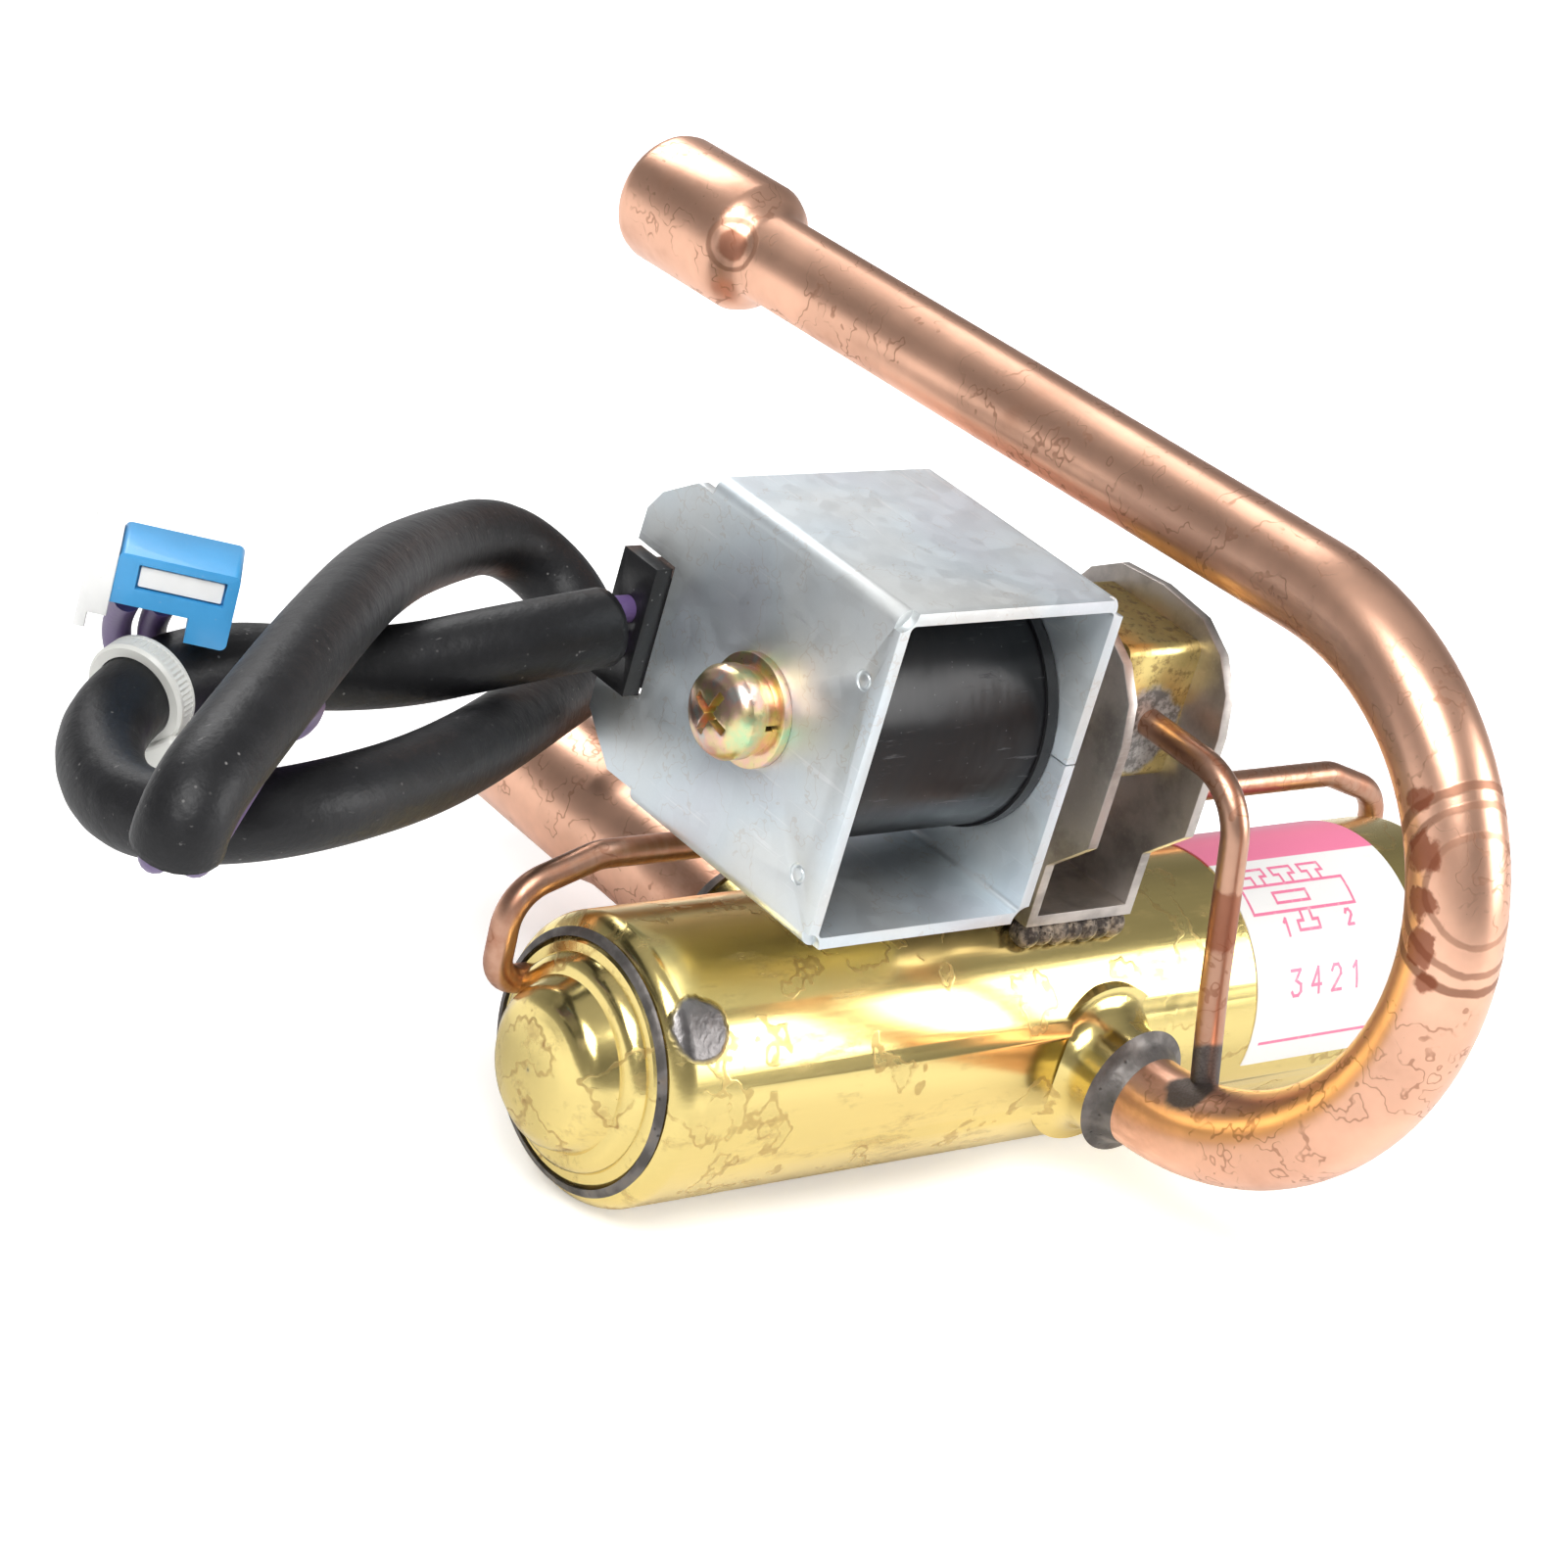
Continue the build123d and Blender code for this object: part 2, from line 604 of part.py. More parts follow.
# ---- lead ----
def arc_radii(points):
    """Largest tangent arc that leaves a short straight on each run."""
    radii = []
    for a, b, c in zip(points, points[1:], points[2:]):
        u = Vector(*b) - Vector(*a)
        v = Vector(*c) - Vector(*b)
        turn = math.radians(u.get_angle(v))
        radii.append(0.45 * min(u.length, v.length) / math.tan(turn / 2))
    return radii


def lead_sleeve():
    radii = arc_radii(SLEEVE_ROUTE)
    print("lead bend radii", [round(r, 1) for r in radii])
    tube = routed(SLEEVE_ROUTE, radii, SLEEVE_R, SLEEVE_R - 0.55)
    length = FilletPolyline(*SLEEVE_ROUTE, radius=radii).length
    ring = math.pi * (SLEEVE_R ** 2 - (SLEEVE_R - 0.55) ** 2)
    print("lead length", round(length, 1), "volume ratio", round(tube.volume / ring / length, 4))
    return tube


def plug_wires():
    """Two insulated wires from the sleeve's open end round the loop and up into the plug."""
    end = Vector(*SLEEVE_ROUTE[-1])
    along = (end - Vector(*SLEEVE_ROUTE[-2])).normalized()
    a = end - along * 5
    b = end + along * 7
    path = [tuple(a), tuple(b), (-124, -16, 29), (-112, 8, 19.5), (-102, 30, 20)]
    path = path + [(-98.2, 30.5, 29.5), (-96.9, 23.9, 38.1)]
    wires = []
    for side in (-0.5, 0.5):
        points = [(x + side * 2.9, y - side * 1.2, z) for x, y, z in path]
        wires.append(routed(points, [3, 5, 6, 4.5, 3], WIRE_R))
    return Compound(children=wires)


def plug_place():
    return Pos(*PLUG_AT) * Rot(0, 0, PLUG_TURN)


def connector_housing():
    """Blue plug body: window recess in the near face, contact slots in the mating end."""
    n = PLUG_LEN / 2
    h = PLUG_HALF
    body = block(-n, n, -h, h, -h, h)
    body = fillet(body.edges().filter_by(Axis.Y), 0.6)
    body = body - block(-3.4, 4.2, -h - 1, -h + 0.9, 0.4, 2.7)
    body = body - block(-n - 1, 1.6, -h - 1, h + 1, -h - 1, -1.2)
    for y in (-1.7, 1.7):
        body = body - block(n - 4.5, n + 1, y - 0.8, y + 0.8, -1.6, 1.2)
    return plug_place() * body


def connector_window():
    h = PLUG_HALF
    return plug_place() * block(-3.2, 4.0, -h + 0.3, -h + 0.9, 0.6, 2.5)


def connector_retainer():
    """White wire retainer closing the rear of the plug."""
    n = PLUG_LEN / 2
    body = block(-n - 2.6, -n, -3.7, 3.7, -2.6, 4.2)
    body = body + block(-n - 2.6, -n - 1.6, -3.7, 3.7, -4.0, -2.6)
    return plug_place() * body


def cable_tie():
    """Ratchet tie closed round the sleeve, with its head and cut tail."""
    wire = FilletPolyline(*SLEEVE_ROUTE, radius=arc_radii(SLEEVE_ROUTE))
    at = Plane(origin=wire @ TIE_AT, z_dir=wire % TIE_AT)
    band = Cylinder(SLEEVE_R + 1.15, 2.5) - Cylinder(SLEEVE_R + 0.25, 3)
    head = Pos(SLEEVE_R + 1.9, 0, 0) * Box(3.0, 4.0, 3.6)
    tail = Pos(SLEEVE_R + 4.0, 0.9, 0) * Box(2.6, 1.0, 2.3)
    return at * (band + (head - Cylinder(SLEEVE_R + 0.25, 5)) + tail)


# ---- label ----
def label():
    sheet = rod_x(BARREL_R + 0.12, 20.6, 45.2) - rod_x(BARREL_R, 0, 60)
    wedge = [(0, 0), (0, 40), (-40, 40), (-40, -7)]
    keep = Pos(20, 0, 0) * extrude(Plane.YZ * make_face(Polyline(*wedge, close=True)), 30)
    wedge = make_face(Polyline((0, 0), (0, 40), (27, 40), close=True))
    back = Pos(20, 0, 0) * extrude(Plane.YZ * wedge, 30)
    return sheet & (keep + back)


def build():
    save(barrel(), "barrel")
    cap = end_cap()
    ring = cap_braze()
    left_line, route = rear_capillary(0)
    right_line, _ = rear_capillary(2)
    hole = rod_x(CAP_TUBE_R, BARREL_HALF - 4, BARREL_HALF + 4, 9.9, 3.4)
    save(cap - hole, "end_cap_right")
    save(mirror(cap - hole, Plane.YZ), "end_cap_left")
    save(ring - hole, "cap_braze_right")
    save(mirror(ring - hole, Plane.YZ), "cap_braze_left")
    mid_line = middle_capillary()
    feed = feed_capillary()
    names = {-1: "port_tube_c", 0: "port_tube_s", 1: "port_tube_e"}
    for i, name in names.items():
        tube = big_tube(i * PORT_PITCH)
        if i == 0:
            tube = tube - middle_capillary(0)
        save(tube, name)
    rings = [Pos(i * PORT_PITCH, 0, 0) * ring_fillet(BIG_TUBE_R, 1) for i in names]
    save(Compound(children=rings), "port_brazes")
    save(tilt() * ring_fillet(SMALL_TUBE_R, -1, 1.9), "discharge_braze")
    save(small_tube() - feed_capillary(0), "discharge_tube")
    save(valve_seat(), "valve_seat")
    save(slide_block(), "slide_block")
    save(connecting_frame(), "connecting_frame")
    for side, name in ((-1, "left"), (1, "right")):
        save(piston_seal(side), "piston_seal_" + name)
        save(piston_plate(side), "piston_plate_" + name)
    save(piston_rivets(), "piston_rivets")
    save(pilot_bracket(), "pilot_bracket")
    save(Compound(children=[weld_bead(-1), weld_bead(1)]), "weld_beads")
    save(pilot_body(), "pilot_body")
    save(pilot_seat(), "pilot_seat")
    save(guide_tube(), "guide_tube")
    save(fixed_core(), "fixed_core")
    save(shading_ring(), "shading_ring")
    save(plunger(), "plunger")
    save(slide_carrier(), "slide_carrier")
    save(pilot_slide(), "pilot_slide")
    save(return_spring(), "return_spring")
    save(left_line, "capillary_left")
    save(right_line, "capillary_right")
    save(mid_line, "capillary_middle")
    save(feed, "capillary_feed")
    save(coil_frame(), "coil_frame")
    save(bobbin(), "bobbin")
    save(winding(), "winding")
    save(coil_wrap(), "coil_wrap")
    save(lead_block(), "lead_block")
    save(stub_wires(), "stub_wires")
    save(flat_washer(), "flat_washer")
    save(spring_washer(), "spring_washer")
    save(coil_screw(), "coil_screw")
    save(lead_sleeve(), "lead_sleeve")
    save(plug_wires(), "plug_wires")
    save(connector_housing(), "connector_housing")
    save(connector_window(), "connector_window")
    save(connector_retainer(), "connector_retainer")
    save(cable_tie(), "cable_tie")
    save(label(), "label")


build()
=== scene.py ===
"""Four way reversing valve: finishes, lead, tie, spring, label print and studio for the solids."""
import json
import math

import bmesh
import bpy
from bpy.props import FloatProperty, FloatVectorProperty, IntProperty, PointerProperty
from bpy.types import Operator, Panel, PropertyGroup
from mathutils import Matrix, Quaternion, Vector


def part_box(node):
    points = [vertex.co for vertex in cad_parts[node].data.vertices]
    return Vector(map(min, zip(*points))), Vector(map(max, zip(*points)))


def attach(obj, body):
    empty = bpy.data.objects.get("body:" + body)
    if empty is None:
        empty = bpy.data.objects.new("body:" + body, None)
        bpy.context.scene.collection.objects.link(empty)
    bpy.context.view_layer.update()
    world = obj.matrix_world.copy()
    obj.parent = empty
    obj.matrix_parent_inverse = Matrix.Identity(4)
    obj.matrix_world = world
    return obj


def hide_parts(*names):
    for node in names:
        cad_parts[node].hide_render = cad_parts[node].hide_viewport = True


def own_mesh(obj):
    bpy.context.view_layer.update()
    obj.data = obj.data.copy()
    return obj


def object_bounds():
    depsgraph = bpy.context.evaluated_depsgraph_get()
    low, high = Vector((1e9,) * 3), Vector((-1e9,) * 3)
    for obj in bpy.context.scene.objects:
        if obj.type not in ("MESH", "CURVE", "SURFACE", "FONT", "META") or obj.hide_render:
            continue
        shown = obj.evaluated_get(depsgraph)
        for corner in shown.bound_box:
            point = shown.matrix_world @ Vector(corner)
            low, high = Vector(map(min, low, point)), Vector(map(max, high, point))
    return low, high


bl_info = {
    "name": "Four way reversing valve",
    "version": (1, 0, 0),
    "blender": (4, 5, 0),
    "location": "3D View > Sidebar > Valve",
    "description": "Dresses a reversing valve with its finishes, lead, label print and studio",
    "category": "Object",
}

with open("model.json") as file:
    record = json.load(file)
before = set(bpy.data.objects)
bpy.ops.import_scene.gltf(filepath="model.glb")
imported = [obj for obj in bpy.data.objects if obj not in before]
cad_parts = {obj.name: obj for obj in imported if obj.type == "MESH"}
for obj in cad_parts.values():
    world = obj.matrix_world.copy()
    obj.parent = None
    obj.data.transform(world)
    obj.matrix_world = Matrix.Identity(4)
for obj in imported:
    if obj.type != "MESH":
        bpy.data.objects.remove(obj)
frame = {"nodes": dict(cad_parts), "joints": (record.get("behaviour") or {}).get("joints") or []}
NODES = frame["nodes"]
CAD_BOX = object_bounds()

MM = 0.001
BARREL_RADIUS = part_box("barrel")[1][2] / MM
LABEL_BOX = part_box("label")

# Label: angles round the barrel in degrees, from level on the near side.
LABEL_LOW_EDGE = -6.0
BAND_EDGE = (83.0, 83.6)
# Label, in millimetres: where soiling starts and is full, and how the print lies on the barrel.
SOILED_EDGE = (11.6, 12.6)
PRINT_PROUD = 0.14
PRINT_LAYER = 0.002
STRIP_LENGTH = 0.7

# Tie, in millimetres: its gap to the sleeve, its ribs, its head and the stub of its tail.
TIE_CLEAR = 0.05
TOOTH_DEPTH = 0.14
TIE_RIM = 0.28
TIE_HEAD = (3.4, 4.2, 3.8)
HEAD_OUT = 1.1
TIE_TAIL = (2.4, 1.1, 2.3)
TAIL_SHIFT = (2.6, 0.8)
# The way that the tie's head faces.
HEAD_SIDE = (0.25, -0.6, -0.75)

# Return spring: turns, then, in millimetres, its wire's radius and the plunger's gap when pressed.
SPRING_TURNS = 6
SPRING_WIRE = 0.3
SPRING_SPARE = 0.05

# Studio, in metres. The floor's own glow rises between two distances from the frame's origin.
FLOOR_Z = CAD_BOX[0][2] - 0.4 * MM
FLOOR_REACH = 2.0
GLOW_DISTANCE = (0.22, 0.75)
GLOW_LEVEL = (0.42, 0.85)
WORLD_STOPS = ((0.0, 0.95), (0.35, 0.95), (0.55, 0.55), (0.75, 0.30), (1.0, 0.75))
LAMP_AIM = (0, 0, 0.02)
# Lamps: name, place, side of the square and share of the key lamp's power.
LAMPS = (
    ("key lamp", (-0.55, -0.35, 0.75), 0.5, 1.0),
    ("side lamp", (0.60, -0.55, 0.35), 0.45, 0.55),
    ("rear lamp", (0.10, 0.70, 0.60), 0.5, 0.45),
)

# Control points of the lead's sleeve, in millimetres, from the coil to its open end.
LEAD_POINTS = [
    (-50.6, 17.8, 35.7),
    (-60.0, 17.1, 35.2),
    (-74.0, 20.2, 31.2),
    (-91.5, 24.0, 32.0),
    (-104.2, 17.5, 29.2),
    (-109.2, 4.5, 28.8),
    (-103.8, -4.4, 32.4),
    (-91.0, -4.2, 33.6),
    (-71.0, 8.6, 28.6),
    (-46.8, 26.9, 23.0),
    (-33.5, 36.5, 20.6),
    (-30.8, 45.4, 24.4),
    (-37.8, 50.2, 29.2),
    (-52.2, 42.2, 32.0),
    (-73.4, 23.4, 39.6),
    (-93.9, 3.4, 44.8),
    (-110.8, -12.3, 46.4),
    (-121.0, -20.3, 44.4),
    (-120.5, -19.6, 40.6),
]
# Control points between the two wires, from inside the sleeve's open end to the connector.
WIRE_POINTS = [
    (-119.6, -18.9, 44.2),
    (-120.4, -19.5, 40.6),
    (-118.5, -17.0, 36.6),
    (-110.5, -9.8, 38.2),
    (-100.5, -0.5, 38.8),
    (-90.0, 9.0, 36.5),
    (-86.5, 15.0, 29.0),
    (-91.0, 24.5, 24.5),
    (-91.8, 29.5, 28.0),
    (-94.5, 28.8, 33.5),
    (-96.9, 23.9, 38.1),
]
# From between the wires to the middle of one of them, and a place near the tie.
WIRE_SIDE = (1.45, -0.6, 0.0)
TIE_NEAR = (-97.5, 21.0, 31.0)

# Marks on the copper: kind, place in millimetres, radius, raggedness or line width, strength.
BEND_MARKS = (
    ("ring", (-0.4, -49.4, 40.3), 9.6, 0.30, 0.75),
    ("ring", (-0.4, -49.4, 40.3), 7.9, 0.22, 0.6),
    ("ring", (-0.4, -49.4, 40.3), 5.2, 0.18, 0.5),
    ("stain", (-3.7, -41.3, 45.8), 1.3, 2.4, 0.8),
    ("stain", (-3.6, -43.7, 41.6), 1.8, 3.0, 0.8),
    ("stain", (-3.5, -45.3, 37.4), 1.6, 3.2, 0.8),
    ("stain", (-3.5, -47.1, 33.4), 1.7, 3.2, 0.8),
    ("stain", (-3.2, -48.7, 30.7), 0.9, 2.0, 0.8),
    ("stain", (-8.1, 60.9, 55.3), 1.6, 1.0, 0.7),
    ("ring", (-8.1, 60.9, 55.3), 2.6, 0.15, 0.6),
    ("braze", (-1.6, -26.0, 5.6), 2.6, 1.6, 0.95),
)
FEED_MARKS = (
    ("braze", (0.0, -27.2, 6.0), 4.3, 0.8, 0.95),
    ("stain", (-1.5, -22.8, 22.5), 3.2, 1.6, 0.7),
)

# Solder on the pilot body: its height and radius in millimetres.
SOLDER_HEIGHT = 34.5
SOLDER_RADIUS = 4.6

CAMERA_AT = (-0.305298, -0.264491, 0.195149)
CAMERA_TURN = (0.812789, 0.467646, -0.278549, -0.207584)


# ---- values a user may change ----
def shade(name, note, colour):
    """A colour property with its default."""
    return FloatVectorProperty(
        name=name, description=note, default=colour, size=3, min=0.0, max=1.0, subtype="COLOR"
    )


def length(name, note, value):
    """A length property in metres."""
    return FloatProperty(
        name=name, description=note, default=value, min=0.0, precision=5, unit="LENGTH"
    )


class ValveColours(PropertyGroup):
    """Base colours of the valve's finishes."""

    brass: shade("Brass", "Polished brass of the barrel and caps", (0.80, 0.64, 0.25))
    brass_stain: shade("Brass stain", "Brown flux stain on the brass", (0.30, 0.15, 0.05))
    copper: shade("Copper", "Drawn copper of the tubes", (0.86, 0.50, 0.35))
    copper_oxide: shade("Copper oxide", "Brown oxide on the copper", (0.22, 0.09, 0.05))
    braze: shade("Braze", "Grey brazing alloy", (0.17, 0.155, 0.145))
    zinc: shade("Zinc", "Zinc plate of the coil frame", (0.70, 0.745, 0.78))
    steel: shade("Steel", "Brownish steel of the bracket", (0.50, 0.46, 0.43))
    film: shade("Coil film", "Black film round the coil", (0.006, 0.006, 0.007))
    plastic: shade("Black plastic", "Bobbin and lead block", (0.010, 0.010, 0.011))
    sleeve: shade("Lead sleeve", "Black sleeve of the lead", (0.007, 0.007, 0.008))
    wire: shade("Wire", "Purple insulation of the wires", (0.115, 0.07, 0.19))
    gold_zinc: shade("Yellow zinc", "Gold passivated zinc of the screw", (0.80, 0.66, 0.34))
    tie: shade("Cable tie", "Pale nylon of the tie", (0.62, 0.62, 0.58))
    connector: shade("Connector", "Blue nylon of the connector", (0.05, 0.31, 0.62))
    paper: shade("Label paper", "White paper of the label", (0.82, 0.82, 0.80))
    ink: shade("Label ink", "Pink ink of the label", (0.80, 0.20, 0.34))


class ValveSizes(PropertyGroup):
    """Sizes of what is added to the solids, and levels of the studio."""

    sleeve_radius: length("Sleeve radius", "Outside radius of the lead's sleeve", 0.00375)
    sleeve_wall: length("Sleeve wall", "Wall of the lead's sleeve", 0.00055)
    lead_length: length("Lead length", "Length of the lead's sleeve", 0.292)
    wire_radius: length("Wire radius", "Outside radius of a wire", 0.0013)
    tie_width: length("Tie width", "Width of the cable tie's band", 0.0025)
    tie_thickness: length("Tie thickness", "Thickness of the cable tie's band", 0.0011)
    ink_width: length("Ink width", "Width of a printed line", 0.00034)
    edge_round: length("Edge round", "Rounding of folded sheet edges", 0.00012)
    ribs: IntProperty(name="Tie ribs", description="Ribs round the tie", default=60, min=8)
    key_light: FloatProperty(
        name="Key light", description="Power of the key light", default=9.0, min=0.0, unit="POWER"
    )
    world_light: FloatProperty(
        name="World light", description="Level of the surrounding light", default=0.62, min=0.0
    )
    lens: FloatProperty(
        name="Lens",
        description="Focal length of the camera",
        default=102.53,
        subtype="DISTANCE_CAMERA",
    )


# ---- shader maths ----
class Wire:
    """A node socket that takes Python's operators; each one adds a Math node."""

    def __init__(self, graph, socket):
        self.graph = graph
        self.socket = socket

    def math(self, operation, *values):
        """A Math node of these values or links."""
        ports = dict(enumerate(values))
        return self.graph.add("ShaderNodeMath", {"operation": operation}, ports)

    def __add__(self, other):
        return self.math("ADD", self, other)

    def __radd__(self, other):
        return self.math("ADD", other, self)

    def __sub__(self, other):
        return self.math("SUBTRACT", self, other)

    def __rsub__(self, other):
        return self.math("SUBTRACT", other, self)

    def __mul__(self, other):
        return self.math("MULTIPLY", self, other)

    def __rmul__(self, other):
        return self.math("MULTIPLY", other, self)

    def __abs__(self):
        return self.math("ABSOLUTE", self)

    def least(self, other):
        """The smaller of two values."""
        return self.math("MINIMUM", self, other)


class Graph:
    """A node tree, emptied, whose nodes all come from one method."""

    def __init__(self, tree):
        self.tree = tree
        self.tree.nodes.clear()

    def add(self, kind, settings, ports, output=0):
        """One node: its settings first, then its sockets' values or links."""
        node = self.tree.nodes.new(kind)
        for key, value in settings.items():
            if key == "stops":
                self.set_stops(node.color_ramp, value)
            else:
                setattr(node, key, value)
        for key, value in ports.items():
            if isinstance(value, Wire):
                self.tree.links.new(value.socket, node.inputs[key])
            elif value is not None:
                node.inputs[key].default_value = value
        return Wire(self, node.outputs[output]) if node.outputs else None

    @staticmethod
    def set_stops(ramp, stops):
        """Fills a colour ramp with (position, colour) pairs."""
        while len(ramp.elements) < len(stops):
            ramp.elements.new(0.5)
        for element, (position, colour) in zip(ramp.elements, stops):
            element.position = position
            element.color = (*colour, 1.0)

    def parts(self, vector):
        """The three numbers of a vector."""
        split = self.add("ShaderNodeSeparateXYZ", {}, {0: vector})
        outputs = split.socket.node.outputs
        return [Wire(self, outputs[i]) for i in range(3)]

    def ramp(self, value, stops):
        """Colours along a value."""
        return self.add("ShaderNodeValToRGB", {"stops": stops}, {0: value})


class Finish(Graph):
    """A material's node tree, in which places are millimetres of the shared frame."""

    def __init__(self, name):
        self.material = bpy.data.materials.new(name)
        self.material.use_nodes = True
        super().__init__(self.material.node_tree)
        spot = self.add("ShaderNodeTexCoord", {}, {}, "Object")
        self.place = self.add("ShaderNodeVectorMath", {"operation": "SCALE"}, {0: spot, 3: 1 / MM})
        self.x, self.y, self.z = self.parts(self.place)

    def stretched(self, stretch):
        """Places stretched along the axes."""
        ports = {0: self.place, 1: stretch}
        return self.add("ShaderNodeVectorMath", {"operation": "MULTIPLY"}, ports)

    def noise(self, scale, detail=3.0, rough=0.55, stretch=None):
        """Cloudy noise with so many cells a millimetre."""
        where = self.stretched(stretch) if stretch else self.place
        ports = {"Vector": where, "Scale": scale, "Detail": detail, "Roughness": rough}
        return self.add("ShaderNodeTexNoise", {}, ports, "Fac")

    def cells(self, scale, output="Distance"):
        """Cell noise: pits, spangle or specks."""
        ports = {"Vector": self.place, "Scale": scale}
        return self.add("ShaderNodeTexVoronoi", {}, ports, output)

    def step(self, value, low, high):
        """A smooth step from 0 at low to 1 at high; low may be the larger."""
        flip = low > high
        ports = {"Value": value, "From Min": min(low, high), "From Max": max(low, high)}
        ports["To Min"] = 1.0 if flip else 0.0
        ports["To Max"] = 0.0 if flip else 1.0
        return self.add("ShaderNodeMapRange", {"interpolation_type": "SMOOTHSTEP"}, ports)

    def mix(self, factor, a, b):
        """A colour between a and b."""
        a = a if isinstance(a, Wire) else (*a, 1.0)
        b = b if isinstance(b, Wire) else (*b, 1.0)
        settings = {"data_type": "RGBA"}
        return self.add("ShaderNodeMix", settings, {0: factor, 6: a, 7: b}, 2)

    def distance(self, point):
        """How far a place is from a point, in millimetres."""
        ports = {0: self.place, 1: point}
        return self.add("ShaderNodeVectorMath", {"operation": "DISTANCE"}, ports, "Value")

    def spot(self, point, radius, soft=1.0, wobble=1.5, scale=0.5):
        """A ragged spot: 1 inside the radius, 0 outside."""
        far = self.distance(point) + (self.noise(scale) - 0.5) * wobble
        return self.step(far, radius + soft, radius - soft)

    def ring(self, point, radius, width, soft=0.5, wobble=1.5, scale=0.4):
        """A ragged ring round a point."""
        far = self.distance(point) + (self.noise(scale) - 0.5) * wobble
        return self.step(abs(far - radius), width + soft, width)

    def finish(self, colour, rough, metal=0.0, height=None, depth=0.0, coat=0.0, **constants):
        """The surface: depth is the height's full swing in millimetres."""
        ports = {"Base Color": colour if isinstance(colour, Wire) else (*colour, 1.0)}
        ports.update({"Roughness": rough, "Metallic": metal, "Coat Weight": coat})
        for key, value in constants.items():
            ports[key.replace("_", " ").title().replace("Ior", "IOR")] = value
        if height is not None:
            bump = {"Strength": 1.0, "Distance": depth * MM, "Height": height}
            ports["Normal"] = self.add("ShaderNodeBump", {}, bump)
        surface = self.add("ShaderNodeBsdfPrincipled", {}, ports)
        self.add("ShaderNodeOutputMaterial", {}, {"Surface": surface})
        return self.material


def colour(name):
    """A colour chosen in the sidebar."""
    return tuple(getattr(bpy.context.scene.valve_colours, name))


def sizes():
    """The sizes chosen in the sidebar."""
    return bpy.context.scene.valve_sizes


def tinted(base, factor):
    """A colour made lighter or darker, with no channel over 1."""
    return tuple(min(1.0, channel * factor) for channel in base)


# ---- finishes ----
def brass_finish(name, stains=1.0, patches=()):
    """Polished yellow brass: drawn lines, flux stains with dark rims and grey braze patches."""
    g = Finish(name)
    base = colour("brass")
    cloud = g.noise(0.075, 4.0, 0.6)
    broad = g.step(cloud, 0.52, 0.60)
    rim = g.step(abs(cloud - 0.555), 0.016, 0.005) * g.step(g.noise(0.3), 0.42, 0.55)
    smear = g.step(g.noise(0.35, 5.0, 0.65, (0.35, 1, 1)), 0.54, 0.74)
    drawn = g.noise(2.4, 2.0, 0.5, (0.05, 1, 1))
    fleck = g.step(g.cells(1.1), 0.12, 0.05) * g.step(g.noise(0.2), 0.50, 0.62)
    tone = g.mix(broad * (0.30 * stains), base, tinted(base, 0.72))
    tone = g.mix((smear * 0.5 + rim * 0.5) * stains, tone, colour("brass_stain"))
    tone = g.mix(g.step(drawn, 0.45, 0.75) * 0.18, tone, tinted(base, 1.12))
    tone = g.mix(fleck * 0.5, tone, tinted(base, 1.2))
    rough = 0.16 + broad * 0.07 + smear * 0.12 + drawn * 0.05 + rim * 0.15
    metal = 1.0 - smear * (0.25 * stains)
    lumps = drawn * 0.02 + rim * 0.04
    for point, radius in patches:
        patch = g.spot(point, radius, 0.35, 1.3, 0.35)
        crust = g.noise(0.8, 3.0)
        tone = g.mix(patch, tone, g.mix(crust, (0.07, 0.065, 0.065), (0.26, 0.245, 0.24)))
        rough = rough + patch * (0.36 - rough)
        lumps = lumps + patch * (0.5 + crust * 0.3)
    return g.finish(tone, rough, metal, lumps, 0.25)


def copper_finish(name, marks=(), shade_down=1.0):
    """Drawn copper: satin, with drying lines, brown oxide near the joints and local marks."""
    g = Finish(name)
    base = tinted(colour("copper"), shade_down)
    oxide = colour("copper_oxide")
    cloud = g.noise(0.09, 4.0, 0.6)
    streak = g.noise(0.8, 4.0, 0.6, (1.0, 0.25, 0.45))
    fine = g.noise(5.0, 3.0)
    lines = g.step(abs(cloud - 0.50), 0.010, 0.003) + g.step(abs(cloud - 0.57), 0.008, 0.002)
    lines = lines * g.step(g.noise(0.25), 0.40, 0.56)
    crumbs = g.step(g.noise(1.3, 4.0, 0.7), 0.66, 0.72) * g.step(cloud, 0.48, 0.56)
    near_barrel = g.step(abs(g.y), 34.0, 16.0) * g.step(g.z, 28.0, 8.0)
    brown = g.step(cloud, 0.56, 0.76) * 0.35 + near_barrel * g.step(streak, 0.35, 0.65) * 0.6
    tone = g.mix(g.step(cloud, 0.3, 0.6), tinted(base, 1.08), tinted(base, 0.90))
    tone = g.mix(brown.least(0.85), tone, tinted(oxide, 1.9))
    tone = g.mix((lines * 0.55 + crumbs * 0.6).least(0.9), tone, tinted(oxide, 1.3))
    rough = 0.29 + brown * 0.18 + fine * 0.07 + lines * 0.1
    lumps = streak * 0.4 + fine * 0.3
    for kind, point, radius, width, strength in marks:
        if kind == "ring":
            mark = g.ring(point, radius, width, 0.25, 0.8, 0.3) * strength
            tone = g.mix(mark, tone, oxide)
        elif kind == "braze":
            mark = g.spot(point, radius, 0.4, width, 0.4) * strength
            tone = g.mix(mark, tone, g.mix(fine, (0.05, 0.045, 0.045), (0.17, 0.16, 0.155)))
        else:
            mark = g.spot(point, radius, 0.25, width, 0.55) * strength
            tone = g.mix(mark, tone, (0.27, 0.08, 0.04))
        rough = rough + mark * 0.2
        lumps = lumps + mark * 0.8
    return g.finish(tone, rough, 1.0, lumps, 0.02)


